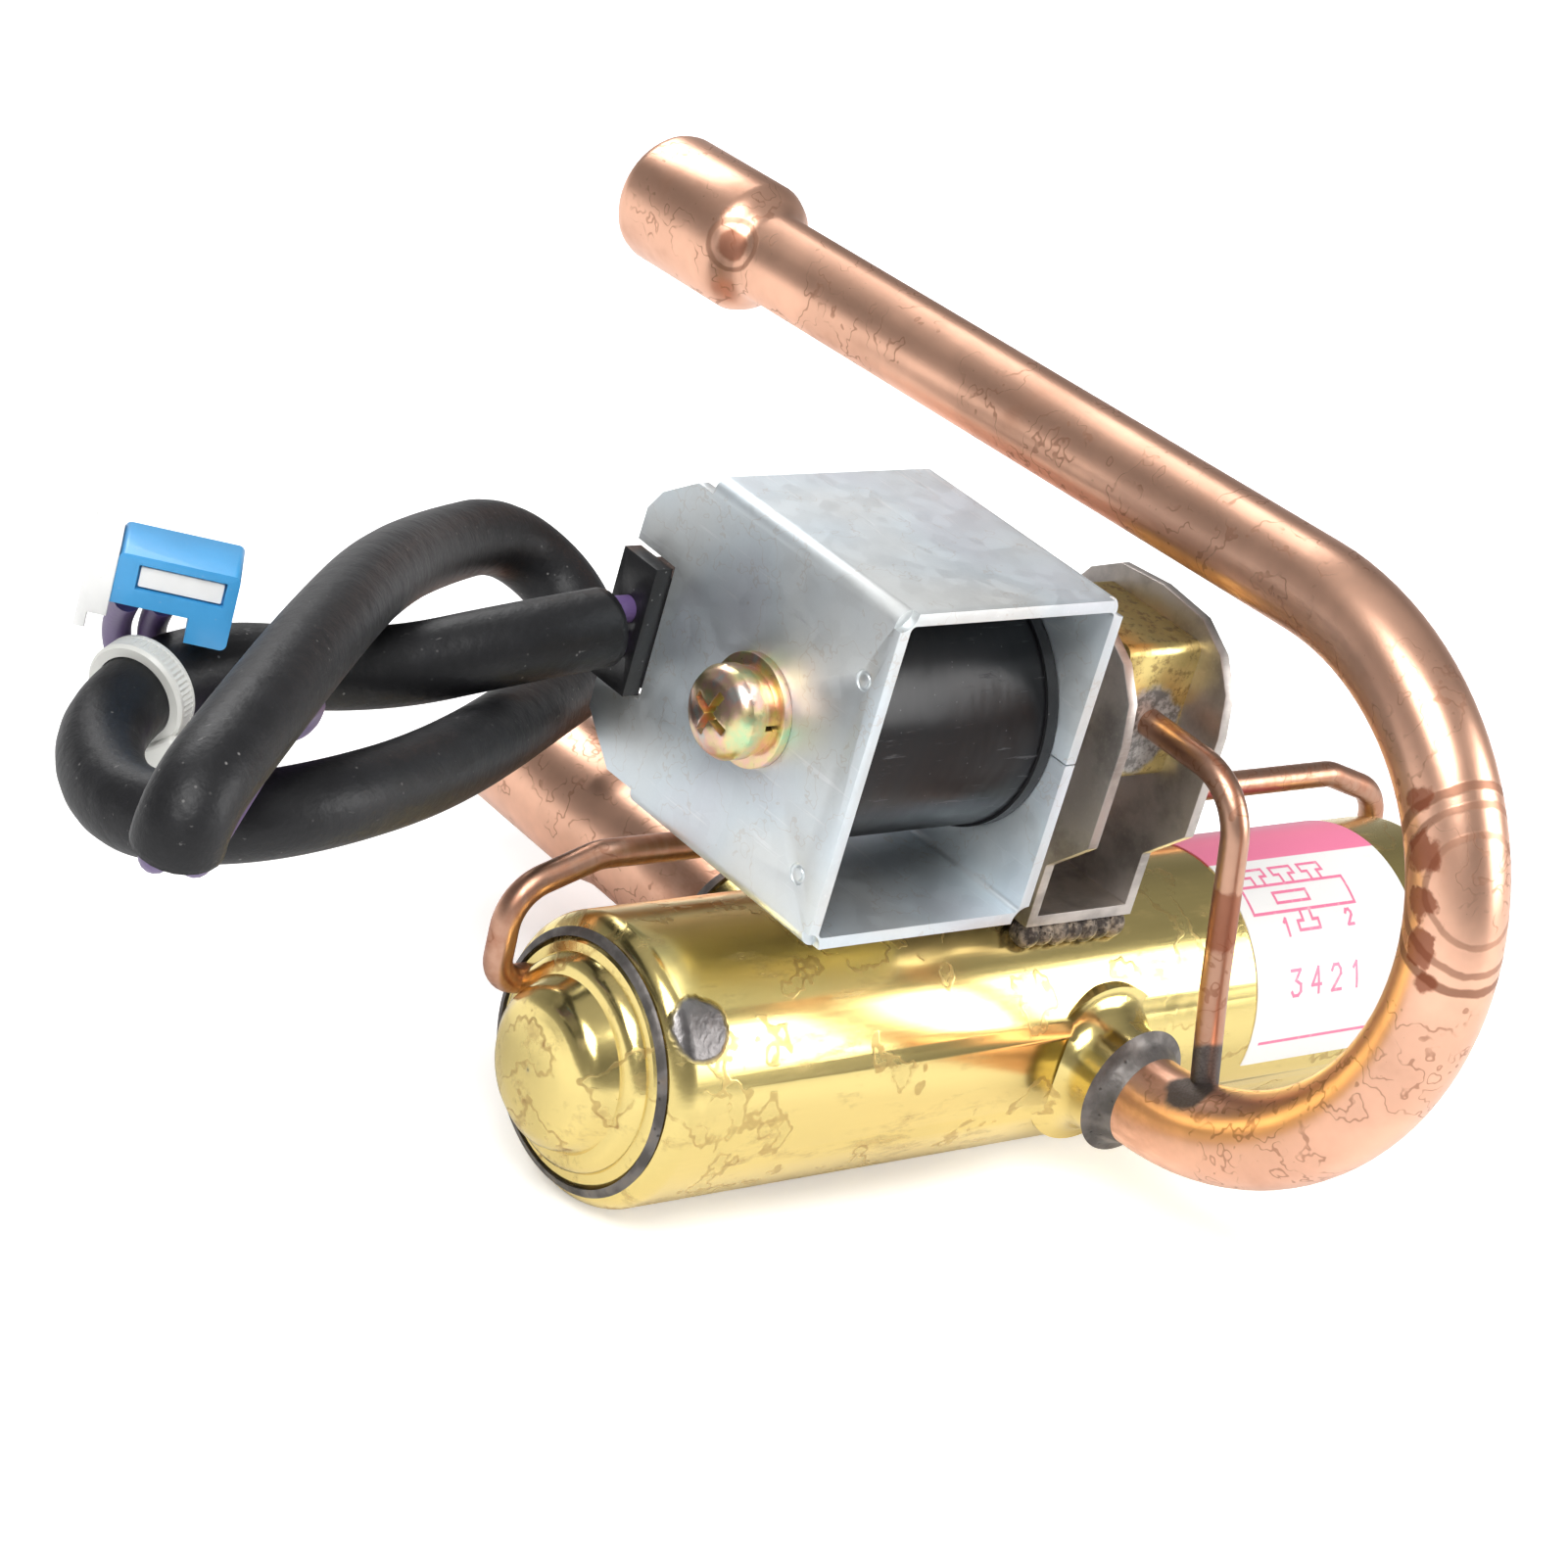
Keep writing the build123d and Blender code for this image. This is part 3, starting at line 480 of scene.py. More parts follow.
def braze_finish(name):
    """Brazing alloy: dark grey frozen flow with brown burnt edges and a few pits, whose near-black
    centres are painted shade.
    """
    g = Finish(name)
    flow = g.noise(0.38, 4.0, 0.5)
    fine = g.noise(2.2, 4.0)
    shaded_pit = g.step(g.cells(0.7), 0.03, 0.16)
    base = colour("braze")
    tone = g.mix(g.step(flow, 0.36, 0.60), tinted(base, 0.55), base)
    tone = g.mix(g.step(flow, 0.60, 0.78) * 0.6, tone, (0.27, 0.20, 0.14))
    # Near-black pit centres: painted shade in the pits.
    tone = g.mix((1.0 - shaded_pit) * 0.7, tone, (0.02, 0.018, 0.016))
    rough = 0.50 - g.step(flow, 0.4, 0.7) * 0.14 + fine * 0.1
    return g.finish(tone, rough, 0.7, flow * 0.6 + shaded_pit * 0.2 + fine * 0.15, 0.3)


def zinc_finish(name):
    """Zinc plate: bluish satin with fine spangle, faint rainbow tint and scratches."""
    g = Finish(name)
    base = colour("zinc")
    crystal = g.cells(0.55, "Color")
    grain = g.add("ShaderNodeSeparateColor", {}, {0: crystal})
    frost = g.noise(3.2, 4.0, 0.7)
    cloud = g.noise(0.10, 4.0, 0.6)
    scratch = g.step(g.noise(1.1, 4.0, 0.6, (1.0, 0.06, 1.0)), 0.62, 0.70)
    nick = g.step(g.noise(0.8, 5.0, 0.7, (0.2, 1.0, 1.0)), 0.68, 0.75)
    thread = g.step(abs(g.noise(0.12, 4.0, 0.6) - 0.5), 0.006, 0.002)
    tone = g.mix(grain * 0.25 + cloud * 0.35 + frost * 0.4, tinted(base, 0.84), tinted(base, 1.14))
    rainbow = g.ramp(
        g.noise(0.045, 2.0),
        [(0.30, (0.66, 0.66, 0.78)), (0.5, (0.64, 0.74, 0.78)), (0.7, (0.80, 0.74, 0.62))],
    )
    tone = g.mix(0.32, tone, rainbow)
    tone = g.mix(scratch * 0.35 + nick * 0.2, tone, (0.88, 0.90, 0.92))
    tone = g.mix(thread * 0.25, tone, (0.50, 0.42, 0.34))
    rough = 0.40 + grain * 0.05 + frost * 0.10 + cloud * 0.05 - scratch * 0.06
    return g.finish(tone, rough, 0.92, frost * 0.5 - scratch * 0.5, 0.012)


def steel_finish(name, dark=0.6, rough=0.34):
    """Plain steel: brushed, with brown film and darker handling marks."""
    g = Finish(name)
    base = colour("steel")
    film = g.noise(0.16, 4.0, 0.6)
    brushed = g.noise(3.5, 3.0, 0.6, (0.15, 1.0, 1.0))
    tone = g.mix(g.step(film, 0.42, 0.68), base, tinted(base, dark))
    tone = g.mix(g.step(brushed, 0.5, 0.8) * 0.3, tone, tinted(base, 1.35))
    return g.finish(tone, rough + film * 0.16, 1.0, brushed, 0.006)


def weld_finish(name):
    """Weld bead: dark burnt metal with pores, whose near-black centres are painted shade, and a
    little brass colour.
    """
    g = Finish(name)
    lump = g.noise(0.9, 5.0, 0.65)
    shaded_pore = g.step(g.cells(1.5), 0.04, 0.26)
    tone = g.mix(g.step(lump, 0.4, 0.66), (0.045, 0.035, 0.03), (0.30, 0.24, 0.18))
    # Near-black pore centres: painted shade in the pores.
    tone = g.mix((1.0 - shaded_pore) * 0.8, tone, (0.012, 0.01, 0.01))
    return g.finish(tone, 0.62 - lump * 0.2, 0.6, lump * 0.6 + shaded_pore * 0.4, 0.5)


def pilot_brass_finish(name):
    """Pilot body's brass with a grey solder patch on its near face."""
    g = Finish(name)
    base = colour("brass")
    low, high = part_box("pilot_body")
    near = low[1] / MM
    centre = ((low[0] + high[0]) / 2 / MM, near, SOLDER_HEIGHT)
    patch = g.spot(centre, SOLDER_RADIUS, 0.6, 3.0, 0.45) * g.step(g.y, near + 1.6, near + 0.6)
    rust = g.step(g.noise(0.9, 5.0, 0.7), 0.50, 0.62)
    cast = g.noise(1.3, 5.0, 0.65)
    film = g.step(g.noise(0.3, 4.0), 0.45, 0.7)
    tone = g.mix(film * 0.5, base, tinted(base, 0.55))
    tone = g.mix(rust * 0.55, tone, (0.22, 0.11, 0.04))
    tone = g.mix(patch, tone, g.mix(g.step(cast, 0.4, 0.6), (0.20, 0.19, 0.18), (0.46, 0.44, 0.42)))
    rough = 0.30 + film * 0.12 + patch * 0.18
    return g.finish(tone, rough, 1.0 - patch * 0.3, cast, 0.05)


def yellow_zinc_finish(name):
    """Gold passivated zinc with green and pink tints."""
    g = Finish(name)
    tint = g.ramp(
        g.noise(0.32, 3.0, 0.6),
        [
            (0.30, (0.50, 0.72, 0.42)),
            (0.46, colour("gold_zinc")),
            (0.60, (0.86, 0.55, 0.44)),
            (0.72, (0.62, 0.66, 0.62)),
        ],
    )
    fine = g.noise(4.0, 3.0)
    dirt = g.step(g.noise(0.9, 4.0), 0.58, 0.78)
    tone = g.mix(dirt * 0.4, tint, (0.20, 0.14, 0.06))
    return g.finish(tone, 0.24 + fine * 0.12 + dirt * 0.15, 1.0, fine, 0.01)


def film_finish(name):
    """Black film round the coil: glossy, softly rippled, with fine scratches."""
    g = Finish(name)
    ripple = g.noise(0.14, 3.0, 0.5, (1.0, 0.5, 0.5))
    scratch = g.step(g.noise(1.6, 4.0, 0.6, (0.12, 1.0, 1.0)), 0.62, 0.72)
    dust = g.step(g.cells(0.9), 0.10, 0.03)
    base = colour("film")
    tone = g.mix(scratch * 0.35 + dust * 0.4, base, (0.16, 0.16, 0.17))
    rough = 0.24 + ripple * 0.10 + scratch * 0.2
    return g.finish(tone, rough, 0.0, ripple * 1.0 - scratch * 0.04, 0.25, specular_ior_level=0.25)


def moulded_finish(name, base, rough=0.42, grain=0.02, speck=0.25, coat=0.0, under=0.0):
    """Moulded plastic: faint flow tone, fine grain and a few specks."""
    g = Finish(name)
    flow = g.noise(0.25, 3.0)
    fine = g.noise(3.0, 3.0)
    dust = g.step(g.cells(0.8), 0.11, 0.03)
    tone = g.mix(flow, tinted(base, 0.90), tinted(base, 1.12))
    tone = g.mix(dust * speck, tone, (0.55, 0.54, 0.52))
    return g.finish(
        tone, rough + fine * 0.10, 0.0, fine, grain, coat, subsurface_weight=under,
        subsurface_radius=(0.002, 0.002, 0.002),
    )


def sleeve_finish(name):
    """Soft black sleeve: low sheen, faint wrinkles and dust specks."""
    g = Finish(name)
    base = colour("sleeve")
    wrinkle = g.noise(0.30, 4.0, 0.6)
    fine = g.noise(2.5, 3.0)
    dust = g.step(g.cells(0.75), 0.13, 0.04) * g.step(g.noise(0.12), 0.42, 0.60)
    lint = g.step(g.noise(1.4, 3.0, 0.6, (0.2, 1.0, 1.0)), 0.68, 0.75)
    tone = g.mix(g.step(wrinkle, 0.4, 0.7) * 0.5, base, tinted(base, 1.9))
    tone = g.mix(dust * 0.55 + lint * 0.25, tone, (0.30, 0.29, 0.28))
    rough = 0.44 + fine * 0.10 + dust * 0.2
    return g.finish(tone, rough, 0.0, wrinkle + fine * 0.05, 0.22, specular_ior_level=0.34)


def label_finish(name):
    """White paper with a pink band along its upper edge and a little soiling."""
    g = Finish(name)
    low, high = LABEL_BOX
    turn = g.z.math("ARCTAN2", g.z, -1.0 * g.y) * (180 / math.pi)
    band = g.step(turn, *BAND_EDGE)
    soil = g.step(g.noise(0.5, 5.0, 0.7), 0.55, 0.8)
    edge = g.step(abs(g.x - (low[0] + high[0]) / 2 / MM), *SOILED_EDGE)
    fibre = g.noise(3.0, 3.0)
    tone = g.mix(soil * 0.12 + edge * 0.10, colour("paper"), (0.55, 0.48, 0.36))
    tone = g.mix(band, tone, colour("ink"))
    return g.finish(tone, 0.42 + fibre * 0.08, 0.0, fibre, 0.01, 0.12)


def ink_finish(name):
    """Pink printing ink, worn in places."""
    g = Finish(name)
    wear = g.step(g.noise(1.2, 4.0), 0.55, 0.75)
    tone = g.mix(wear * 0.35, colour("ink"), colour("paper"))
    return g.finish(tone, 0.42 + wear * 0.08, 0.0)


def slot_finish(name, base, metal, rough, swing=0.25):
    """A hidden piece's plain finish: tone and roughness vary a little."""
    g = Finish(name)
    cloud = g.noise(0.3, 4.0, 0.6)
    fine = g.noise(3.0, 3.0)
    tone = g.mix(cloud, tinted(base, 1.0 - swing), tinted(base, 1.0 + swing))
    return g.finish(tone, rough + fine * 0.10, metal, fine, 0.01)


# ---- how a solid is dressed ----
def dress(name, material, bevel=0.0, angle=32.0):
    """Gives a solid its material, smooth curved faces and lightly rounded edges."""
    piece = NODES[name]
    piece.data.materials.clear()
    piece.data.materials.append(material)
    for face in piece.data.polygons:
        face.use_smooth = True
    weld = piece.modifiers.new("Join seams", "WELD")
    weld.merge_threshold = 0.002 * MM
    if bevel:
        rounding = piece.modifiers.new("Rounded edges", "BEVEL")
        rounding.width = bevel
        rounding.segments = 2
        rounding.limit_method = "ANGLE"
        rounding.angle_limit = math.radians(angle)
    crease = piece.modifiers.new("Crisp edges", "EDGE_SPLIT")
    crease.split_angle = math.radians(angle)
    return piece


def new_piece(name, mesh, material, body="valve", replaces=()):
    """Adds a mesh piece that rides on a body."""
    piece = bpy.data.objects.new(name, mesh)
    bpy.context.scene.collection.objects.link(piece)
    mesh.materials.append(material)
    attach(piece, body)
    if replaces:
        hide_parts(*replaces)
    return piece


# ---- barrel, tubes and what is brazed on ----
def dress_barrel():
    """Barrel, caps, seat and the brazed joints."""
    blob = [((-51.5, -10.4, 9.4), 3.0)]
    barrel = brass_finish("barrel brass", 0.8, blob)
    caps = brass_finish("cap brass", 0.9)
    braze = braze_finish("braze alloy")
    dress("barrel", barrel)
    dress("valve_seat", caps)
    for side in ("left", "right"):
        dress("end_cap_" + side, caps)
        dress("cap_braze_" + side, braze, angle=50)
    dress("port_brazes", braze, angle=50)
    dress("discharge_braze", braze, angle=50)


def dress_tubes():
    """Copper tubes and capillaries."""
    tube = copper_finish("copper tube", BEND_MARKS)
    ports = copper_finish("port copper")
    fine = copper_finish("capillary copper", FEED_MARKS, 0.62)
    dress("discharge_tube", tube)
    for port in "cse":
        dress("port_tube_" + port, ports)
    for line in ("left", "right", "middle", "feed"):
        dress("capillary_" + line, fine)


# ---- what moves inside ----
def dress_inside():
    """Slide, frame and pistons inside the barrel."""
    nylon = slot_finish("slide nylon", (0.66, 0.62, 0.52), 0.0, 0.42)
    seal = slot_finish("seal plastic", (0.70, 0.70, 0.68), 0.0, 0.45, 0.1)
    plate = steel_finish("plated steel", rough=0.28)
    dress("slide_block", nylon)
    dress("pilot_slide", nylon)
    for side in ("left", "right"):
        dress("piston_seal_" + side, seal)
        dress("piston_plate_" + side, plate)
    for name in ("connecting_frame", "piston_rivets", "slide_carrier"):
        dress(name, plate)


def dress_pilot():
    """Pilot body, guide tube and what moves in it."""
    stainless = steel_finish("stainless steel", dark=0.85, rough=0.22)
    dress("pilot_body", pilot_brass_finish("pilot brass"), 0.3 * MM)
    dress("pilot_seat", brass_finish("pilot seat brass", 0.4))
    for name in ("guide_tube", "fixed_core", "plunger"):
        dress(name, stainless)
    dress("shading_ring", slot_finish("ring copper", (0.75, 0.38, 0.24), 1.0, 0.3))
    build_spring(slot_finish("spring steel", (0.5, 0.5, 0.5), 1.0, 0.25))


def build_spring(material):
    """Return spring: round wire in a helix at its rest length, in place of the part's own spring.
    """
    low, high = (Vector(corner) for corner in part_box("return_spring"))
    middle = (low + high) / 2
    wire = SPRING_WIRE * MM
    coil_radius = (high.y - low.y) / 2 - wire
    around, sides = 28, 8
    run = high.x - low.x - 2 * wire
    shape = bmesh.new()
    rows = []
    for i in range(SPRING_TURNS * around + 1):
        turn = math.tau * i / around
        spoke = Vector((0.0, math.cos(turn), math.sin(turn)))
        far = low.x + wire + run * i / (SPRING_TURNS * around)
        centre = Vector((far, middle.y, middle.z)) + spoke * coil_radius
        row = []
        for j in range(sides):
            lean = math.tau * j / sides
            offset = spoke * math.cos(lean) + Vector((1.0, 0.0, 0.0)) * math.sin(lean)
            row.append(shape.verts.new(centre + offset * wire))
        rows.append(row)
    for near, far in zip(rows[:-1], rows[1:]):
        for j in range(sides):
            k = (j + 1) % sides
            shape.faces.new((near[j], near[k], far[k], far[j]))
    shape.faces.new(rows[0])
    shape.faces.new(rows[-1][::-1])
    bmesh.ops.recalc_face_normals(shape, faces=shape.faces[:])
    mesh = bpy.data.meshes.new("spring wire")
    shape.to_mesh(mesh)
    shape.free()
    for face in mesh.polygons:
        face.use_smooth = True
    spring = new_piece("spring_coil", mesh, material, "valve", ("return_spring",))
    travel = next(joint for joint in frame["joints"] if joint["name"] == "pilot_travel")
    pressed = abs(min(travel["range_m"])) + SPRING_SPARE * MM
    keep = 1.0 - pressed / (high.x - low.x)
    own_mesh(spring)


def dress_bracket():
    """Pilot bracket and the welds that hold it."""
    dress("pilot_bracket", steel_finish("bracket steel"), sizes().edge_round)
    dress("weld_beads", weld_finish("weld"), angle=60)


# ---- coil ----
def dress_coil():
    """Coil frame, bobbin, winding and film."""
    dress("coil_frame", zinc_finish("zinc plate"), sizes().edge_round)
    dress("bobbin", moulded_finish("bobbin plastic", colour("plastic"), 0.4))
    dress("winding", slot_finish("winding copper", (0.70, 0.34, 0.18), 1.0, 0.35))
    dress("coil_wrap", film_finish("coil film"))
    dress("lead_block", moulded_finish("lead block plastic", colour("plastic"), 0.32), 0.25 * MM)


def dress_screw():
    """Coil screw and its washers."""
    gold = yellow_zinc_finish("yellow zinc")
    for name in ("flat_washer", "spring_washer", "coil_screw"):
        dress(name, gold, 0.1 * MM)


# ---- lead, tie and connector ----
def lead_curve():
    """The lead's sleeve as one smooth curve steered by its route's points."""
    data = bpy.data.curves.new("lead sleeve line", "CURVE")
    data.dimensions = "3D"
    data.resolution_u = 24
    spline = data.splines.new("NURBS")
    spline.points.add(len(LEAD_POINTS) - 1)
    for point, place in zip(spline.points, LEAD_POINTS):
        point.co = (*(axis * MM for axis in place), 1.0)
    spline.order_u = 3
    spline.use_endpoint_u = True
    piece = bpy.data.objects.new("lead_sleeve_tube", data)
    bpy.context.scene.collection.objects.link(piece)
    return piece


def wire_curves(material):
    """The two wires from the sleeve's open end to the connector."""
    data = bpy.data.curves.new("lead wires line", "CURVE")
    data.dimensions = "3D"
    data.resolution_u = 16
    data.bevel_depth = sizes().wire_radius
    data.bevel_resolution = 6
    data.use_fill_caps = True
    for side in (-1, 1):
        spline = data.splines.new("NURBS")
        spline.points.add(len(WIRE_POINTS) - 1)
        for point, place in zip(spline.points, WIRE_POINTS):
            shifted = [(axis + side * move) * MM for axis, move in zip(place, WIRE_SIDE)]
            point.co = (*shifted, 1.0)
        spline.order_u = 3
        spline.use_endpoint_u = True
    wires = bpy.data.objects.new("lead_wires", data)
    bpy.context.scene.collection.objects.link(wires)
    data.materials.append(material)
    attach(wires, "valve")
    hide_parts("plug_wires")
    return wires


def centre_line(piece):
    """Points along a curve that has no bevel yet."""
    bpy.context.view_layer.update()
    mesh = bpy.data.meshes.new_from_object(piece)
    points = [vertex.co.copy() for vertex in mesh.vertices]
    bpy.data.meshes.remove(mesh)
    return points


def axes_along(direction, toward):
    """Two directions square to a tangent, the first one nearest to toward."""
    first = (toward - direction * toward.dot(direction)).normalized()
    return first, direction.cross(first)


def add_block(shape, centre, across, up, along, size, rounding):
    """A rounded block in a bmesh, its size in millimetres, set along three directions."""
    part = bmesh.new()
    bmesh.ops.create_cube(part, size=1.0)
    for vertex in part.verts:
        vertex.co = Vector(unit * side * MM for unit, side in zip(vertex.co, size))
    bmesh.ops.bevel(
        part, geom=part.edges[:], offset=rounding * MM, segments=3, profile=0.5, affect="EDGES"
    )
    for vertex in part.verts:
        x, y, z = vertex.co
        vertex.co = centre + across * x + up * y + along * z
    mesh = bpy.data.meshes.new("block")
    part.to_mesh(mesh)
    part.free()
    shape.from_mesh(mesh)
    bpy.data.meshes.remove(mesh)


def tie_mesh(centre, along, radius):
    """Ribbed band round the sleeve, with its ratchet head and cut tail."""
    size = sizes()
    half = size.tie_width / 2
    out = radius + size.tie_thickness
    first, second = axes_along(along, Vector(HEAD_SIDE))
    rim = TIE_RIM * MM
    shape = bmesh.new()
    loops = []
    for i in range(size.ribs * 2):
        turn = math.tau * i / (size.ribs * 2)
        spoke = first * math.cos(turn) + second * math.sin(turn)
        tooth = TOOTH_DEPTH * MM if i % 2 else 0.0
        section = [
            (radius, -half), (out - rim, -half), (out, -half + rim), (out, -half + 2 * rim),
            (out - tooth, -half + 2.4 * rim), (out - tooth, half - 2.4 * rim),
            (out, half - 2 * rim), (out, half - rim), (out - rim, half), (radius, half),
        ]
        loops.append([shape.verts.new(centre + spoke * r + along * t) for r, t in section])
    count = len(loops[0])
    for i, loop in enumerate(loops):
        after = loops[(i + 1) % len(loops)]
        for j in range(count):
            k = (j + 1) % count
            shape.faces.new((loop[j], loop[k], after[k], after[j]))
    head = centre + first * (out + HEAD_OUT * MM)
    add_block(shape, head, first, second, along, TIE_HEAD, 0.5)
    tail = head + first * TAIL_SHIFT[0] * MM + second * TAIL_SHIFT[1] * MM
    add_block(shape, tail, first, second, along, TIE_TAIL, 0.2)
    bmesh.ops.recalc_face_normals(shape, faces=shape.faces[:])
    mesh = bpy.data.meshes.new("cable tie")
    shape.to_mesh(mesh)
    shape.free()
    return mesh


def build_lead():
    """Sleeve, wires, tie and connector."""
    size = sizes()
    sleeve = lead_curve()
    line = centre_line(sleeve)
    near = Vector(TIE_NEAR) * MM
    at = min(range(2, len(line) - 2), key=lambda i: (line[i] - near).length)
    along = (line[at + 2] - line[at - 2]).normalized()
    sleeve.data.bevel_depth = size.sleeve_radius
    sleeve.data.bevel_resolution = 10
    wall = sleeve.modifiers.new("Wall", "SOLIDIFY")
    wall.thickness = size.sleeve_wall
    wall.offset = -1.0
    sleeve.data.materials.append(sleeve_finish("black sleeve"))
    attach(sleeve, "valve")
    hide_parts("lead_sleeve")

    nylon = moulded_finish("tie nylon", colour("tie"), 0.30, 0.01, 0.1, 0.1, 0.25)
    mesh = tie_mesh(line[at], along, size.sleeve_radius + TIE_CLEAR * MM)
    tie = new_piece("ribbed_tie", mesh, nylon, "valve", ("cable_tie",))

    wire = moulded_finish("wire insulation", colour("wire"), 0.38, 0.02, 0.1)
    dress("stub_wires", wire)
    wires = wire_curves(wire)
    blue = moulded_finish("blue nylon", colour("connector"), 0.30, 0.015, 0.1, 0.15)
    white = moulded_finish("white nylon", (0.80, 0.80, 0.78), 0.36, 0.015, 0.1, 0.0, 0.15)
    housing = dress("connector_housing", blue, 0.25 * MM)
    window = dress("connector_window", white, 0.1 * MM)
    retainer = dress("connector_retainer", white, 0.2 * MM)


# ---- label ----
DIGITS = {
    "1": [[(0.2, 1.6), (0.55, 2.0), (0.55, 0.0)]],
    "2": [[(0, 1.6), (0.25, 2), (0.75, 2), (1, 1.6), (1, 1.25), (0, 0), (1, 0)]],
    "3": [[(0, 2), (1, 2), (0.45, 1.2), (1, 0.85), (1, 0.3), (0.7, 0), (0.2, 0), (0, 0.3)]],
    "4": [[(0.75, 0), (0.75, 2), (0, 0.65), (1, 0.65)]],
}


def digit(text, x, y, height):
    """A plain number drawn with lines."""
    scale = height / 2
    return [[(x + u * scale, y + v * scale) for u, v in line] for line in DIGITS[text]]


def schematic():
    """Lines of a plain four way valve diagram, in millimetres on the label."""
    lines = [box_line(1.6, 15.2, 16.6, 18.4), box_line(5.6, 16.2, 10.4, 17.4)]
    for x in (4.0, 8.2, 12.4):
        lines.append([(x, 18.4), (x, 19.6), (x - 0.8, 19.6), (x - 0.8, 20.6), (x + 2.2, 20.6)])
        lines.append([(x + 2.2, 20.6), (x + 2.2, 19.6), (x + 1.4, 19.6), (x + 1.4, 18.4)])
    lines.append([(8.2, 15.2), (8.2, 14.0), (7.4, 14.0), (7.4, 13.0), (10.4, 13.0)])
    lines.append([(10.4, 13.0), (10.4, 14.0), (9.6, 14.0), (9.6, 15.2)])
    lines += digit("1", 5.2, 12.6, 1.8) + digit("2", 14.6, 12.9, 1.6)
    for place, text in enumerate("3421"):
        lines += digit(text, 5.0 + 3.0 * place, 6.4, 2.6)
    lines.append([(1.4, 1.6), (23.2, 1.6)])
    return lines


def box_line(x0, y0, x1, y1):
    """A closed box of lines."""
    return [(x0, y0), (x1, y0), (x1, y1), (x0, y1), (x0, y0)]


def add_stroke(shape, start, end, half, radius):
    """One printed line laid on the barrel as a strip of faces."""
    low = LABEL_BOX[0][0] / MM
    first_angle = math.radians(LABEL_LOW_EDGE)
    run = math.hypot(end[0] - start[0], end[1] - start[1])
    ux, uy = (end[0] - start[0]) / run, (end[1] - start[1]) / run
    steps = max(1, math.ceil(run / STRIP_LENGTH))
    lap = 0.9 * half
    rows = []
    for i in range(steps + 1):
        far = -lap + (run + 2 * lap) * i / steps
        row = []
        for side in (-half, half):
            u = start[0] + ux * far - uy * side
            v = start[1] + uy * far + ux * side
            turn = first_angle + v / radius
            place = (low + u, -radius * math.cos(turn), radius * math.sin(turn))
            row.append(shape.verts.new([axis * MM for axis in place]))
        rows.append(row)
    for (a, b), (c, d) in zip(rows[:-1], rows[1:]):
        shape.faces.new((a, c, d, b))


def build_label():
    """Paper label and the plain diagram printed on it."""
    dress("label", label_finish("label paper"))
    shape = bmesh.new()
    half = sizes().ink_width / 2 / MM
    for index, line in enumerate(schematic()):
        radius = BARREL_RADIUS + PRINT_PROUD + PRINT_LAYER * (index % 5)
        for start, end in zip(line[:-1], line[1:]):
            add_stroke(shape, start, end, half, radius)
    mesh = bpy.data.meshes.new("label print")
    shape.to_mesh(mesh)
    shape.free()
    new_piece("label_print", mesh, ink_finish("label ink"), "valve")


# ---- studio ----
def white_for_sight(graph, lit, seen):
    """One shader to the eye and through glass, another for the light it gives."""
    sight = graph.add("ShaderNodeLightPath", {}, {}, "Is Camera Ray")
    through = Wire(graph, sight.socket.node.outputs["Is Transmission Ray"])
    ports = {0: sight.math("MAXIMUM", sight, through), 1: lit, 2: seen}
    return graph.add("ShaderNodeMixShader", {}, ports)


def build_world():
    """A white surround: plain white to the eye, a soft even light on the valve."""
    world = bpy.data.worlds.new("studio")
    bpy.context.scene.world = world
    world.use_nodes = True
    g = Graph(world.node_tree)
    spot = g.add("ShaderNodeTexCoord", {}, {}, "Generated")
    height = g.add("ShaderNodeMapRange", {}, {"Value": g.parts(spot)[2], "From Min": -1.0})
    sky = g.ramp(height, [(at, (v, v, v * 1.01)) for at, v in WORLD_STOPS])
    light = g.add("ShaderNodeBackground", {}, {"Color": sky, "Strength": sizes().world_light})
    white = g.add("ShaderNodeBackground", {}, {"Color": (1, 1, 1, 1)})
    g.add("ShaderNodeOutputWorld", {}, {"Surface": white_for_sight(g, light, white)})


def build_floor():
    """A plain pale floor that keeps the valve's shadow and pales further out."""
    mesh = bpy.data.meshes.new("floor")
    corners = [(-1, -1), (1, -1), (1, 1), (-1, 1)]
    places = [(x * FLOOR_REACH, y * FLOOR_REACH, FLOOR_Z) for x, y in corners]
    mesh.from_pydata(places, [], [(0, 1, 2, 3)])
    floor = bpy.data.objects.new("floor", mesh)
    bpy.context.scene.collection.objects.link(floor)
    material = bpy.data.materials.new("pale floor")
    material.use_nodes = True
    g = Graph(material.node_tree)
    matt = g.add("ShaderNodeBsdfDiffuse", {}, {"Color": (0.9, 0.9, 0.9, 1)})
    spot = g.add("ShaderNodeTexCoord", {}, {}, "Object")
    far = g.add("ShaderNodeVectorMath", {"operation": "LENGTH"}, {0: spot}, "Value")
    ports = {"Value": far, "From Min": GLOW_DISTANCE[0], "From Max": GLOW_DISTANCE[1]}
    ports.update({"To Min": GLOW_LEVEL[0], "To Max": GLOW_LEVEL[1]})
    level = g.add("ShaderNodeMapRange", {}, ports)
    glow = g.add("ShaderNodeEmission", {}, {"Color": (1, 1, 1, 1), "Strength": level})
    both = g.add("ShaderNodeAddShader", {}, {0: matt, 1: glow})
    g.add("ShaderNodeOutputMaterial", {}, {"Surface": white_for_sight(g, matt, both)})
    mesh.materials.append(material)


def add_lamp(name, place, size, power):
    """A square softbox turned to the valve."""
    data = bpy.data.lights.new(name, "AREA")
    data.shape = "SQUARE"
    data.size = size
    data.energy = power
    lamp = bpy.data.objects.new(name, data)
    bpy.context.scene.collection.objects.link(lamp)
    lamp.location = place
    lamp.rotation_mode = "QUATERNION"
    lamp.rotation_quaternion = (Vector(LAMP_AIM) - Vector(place)).to_track_quat("-Z", "Y")


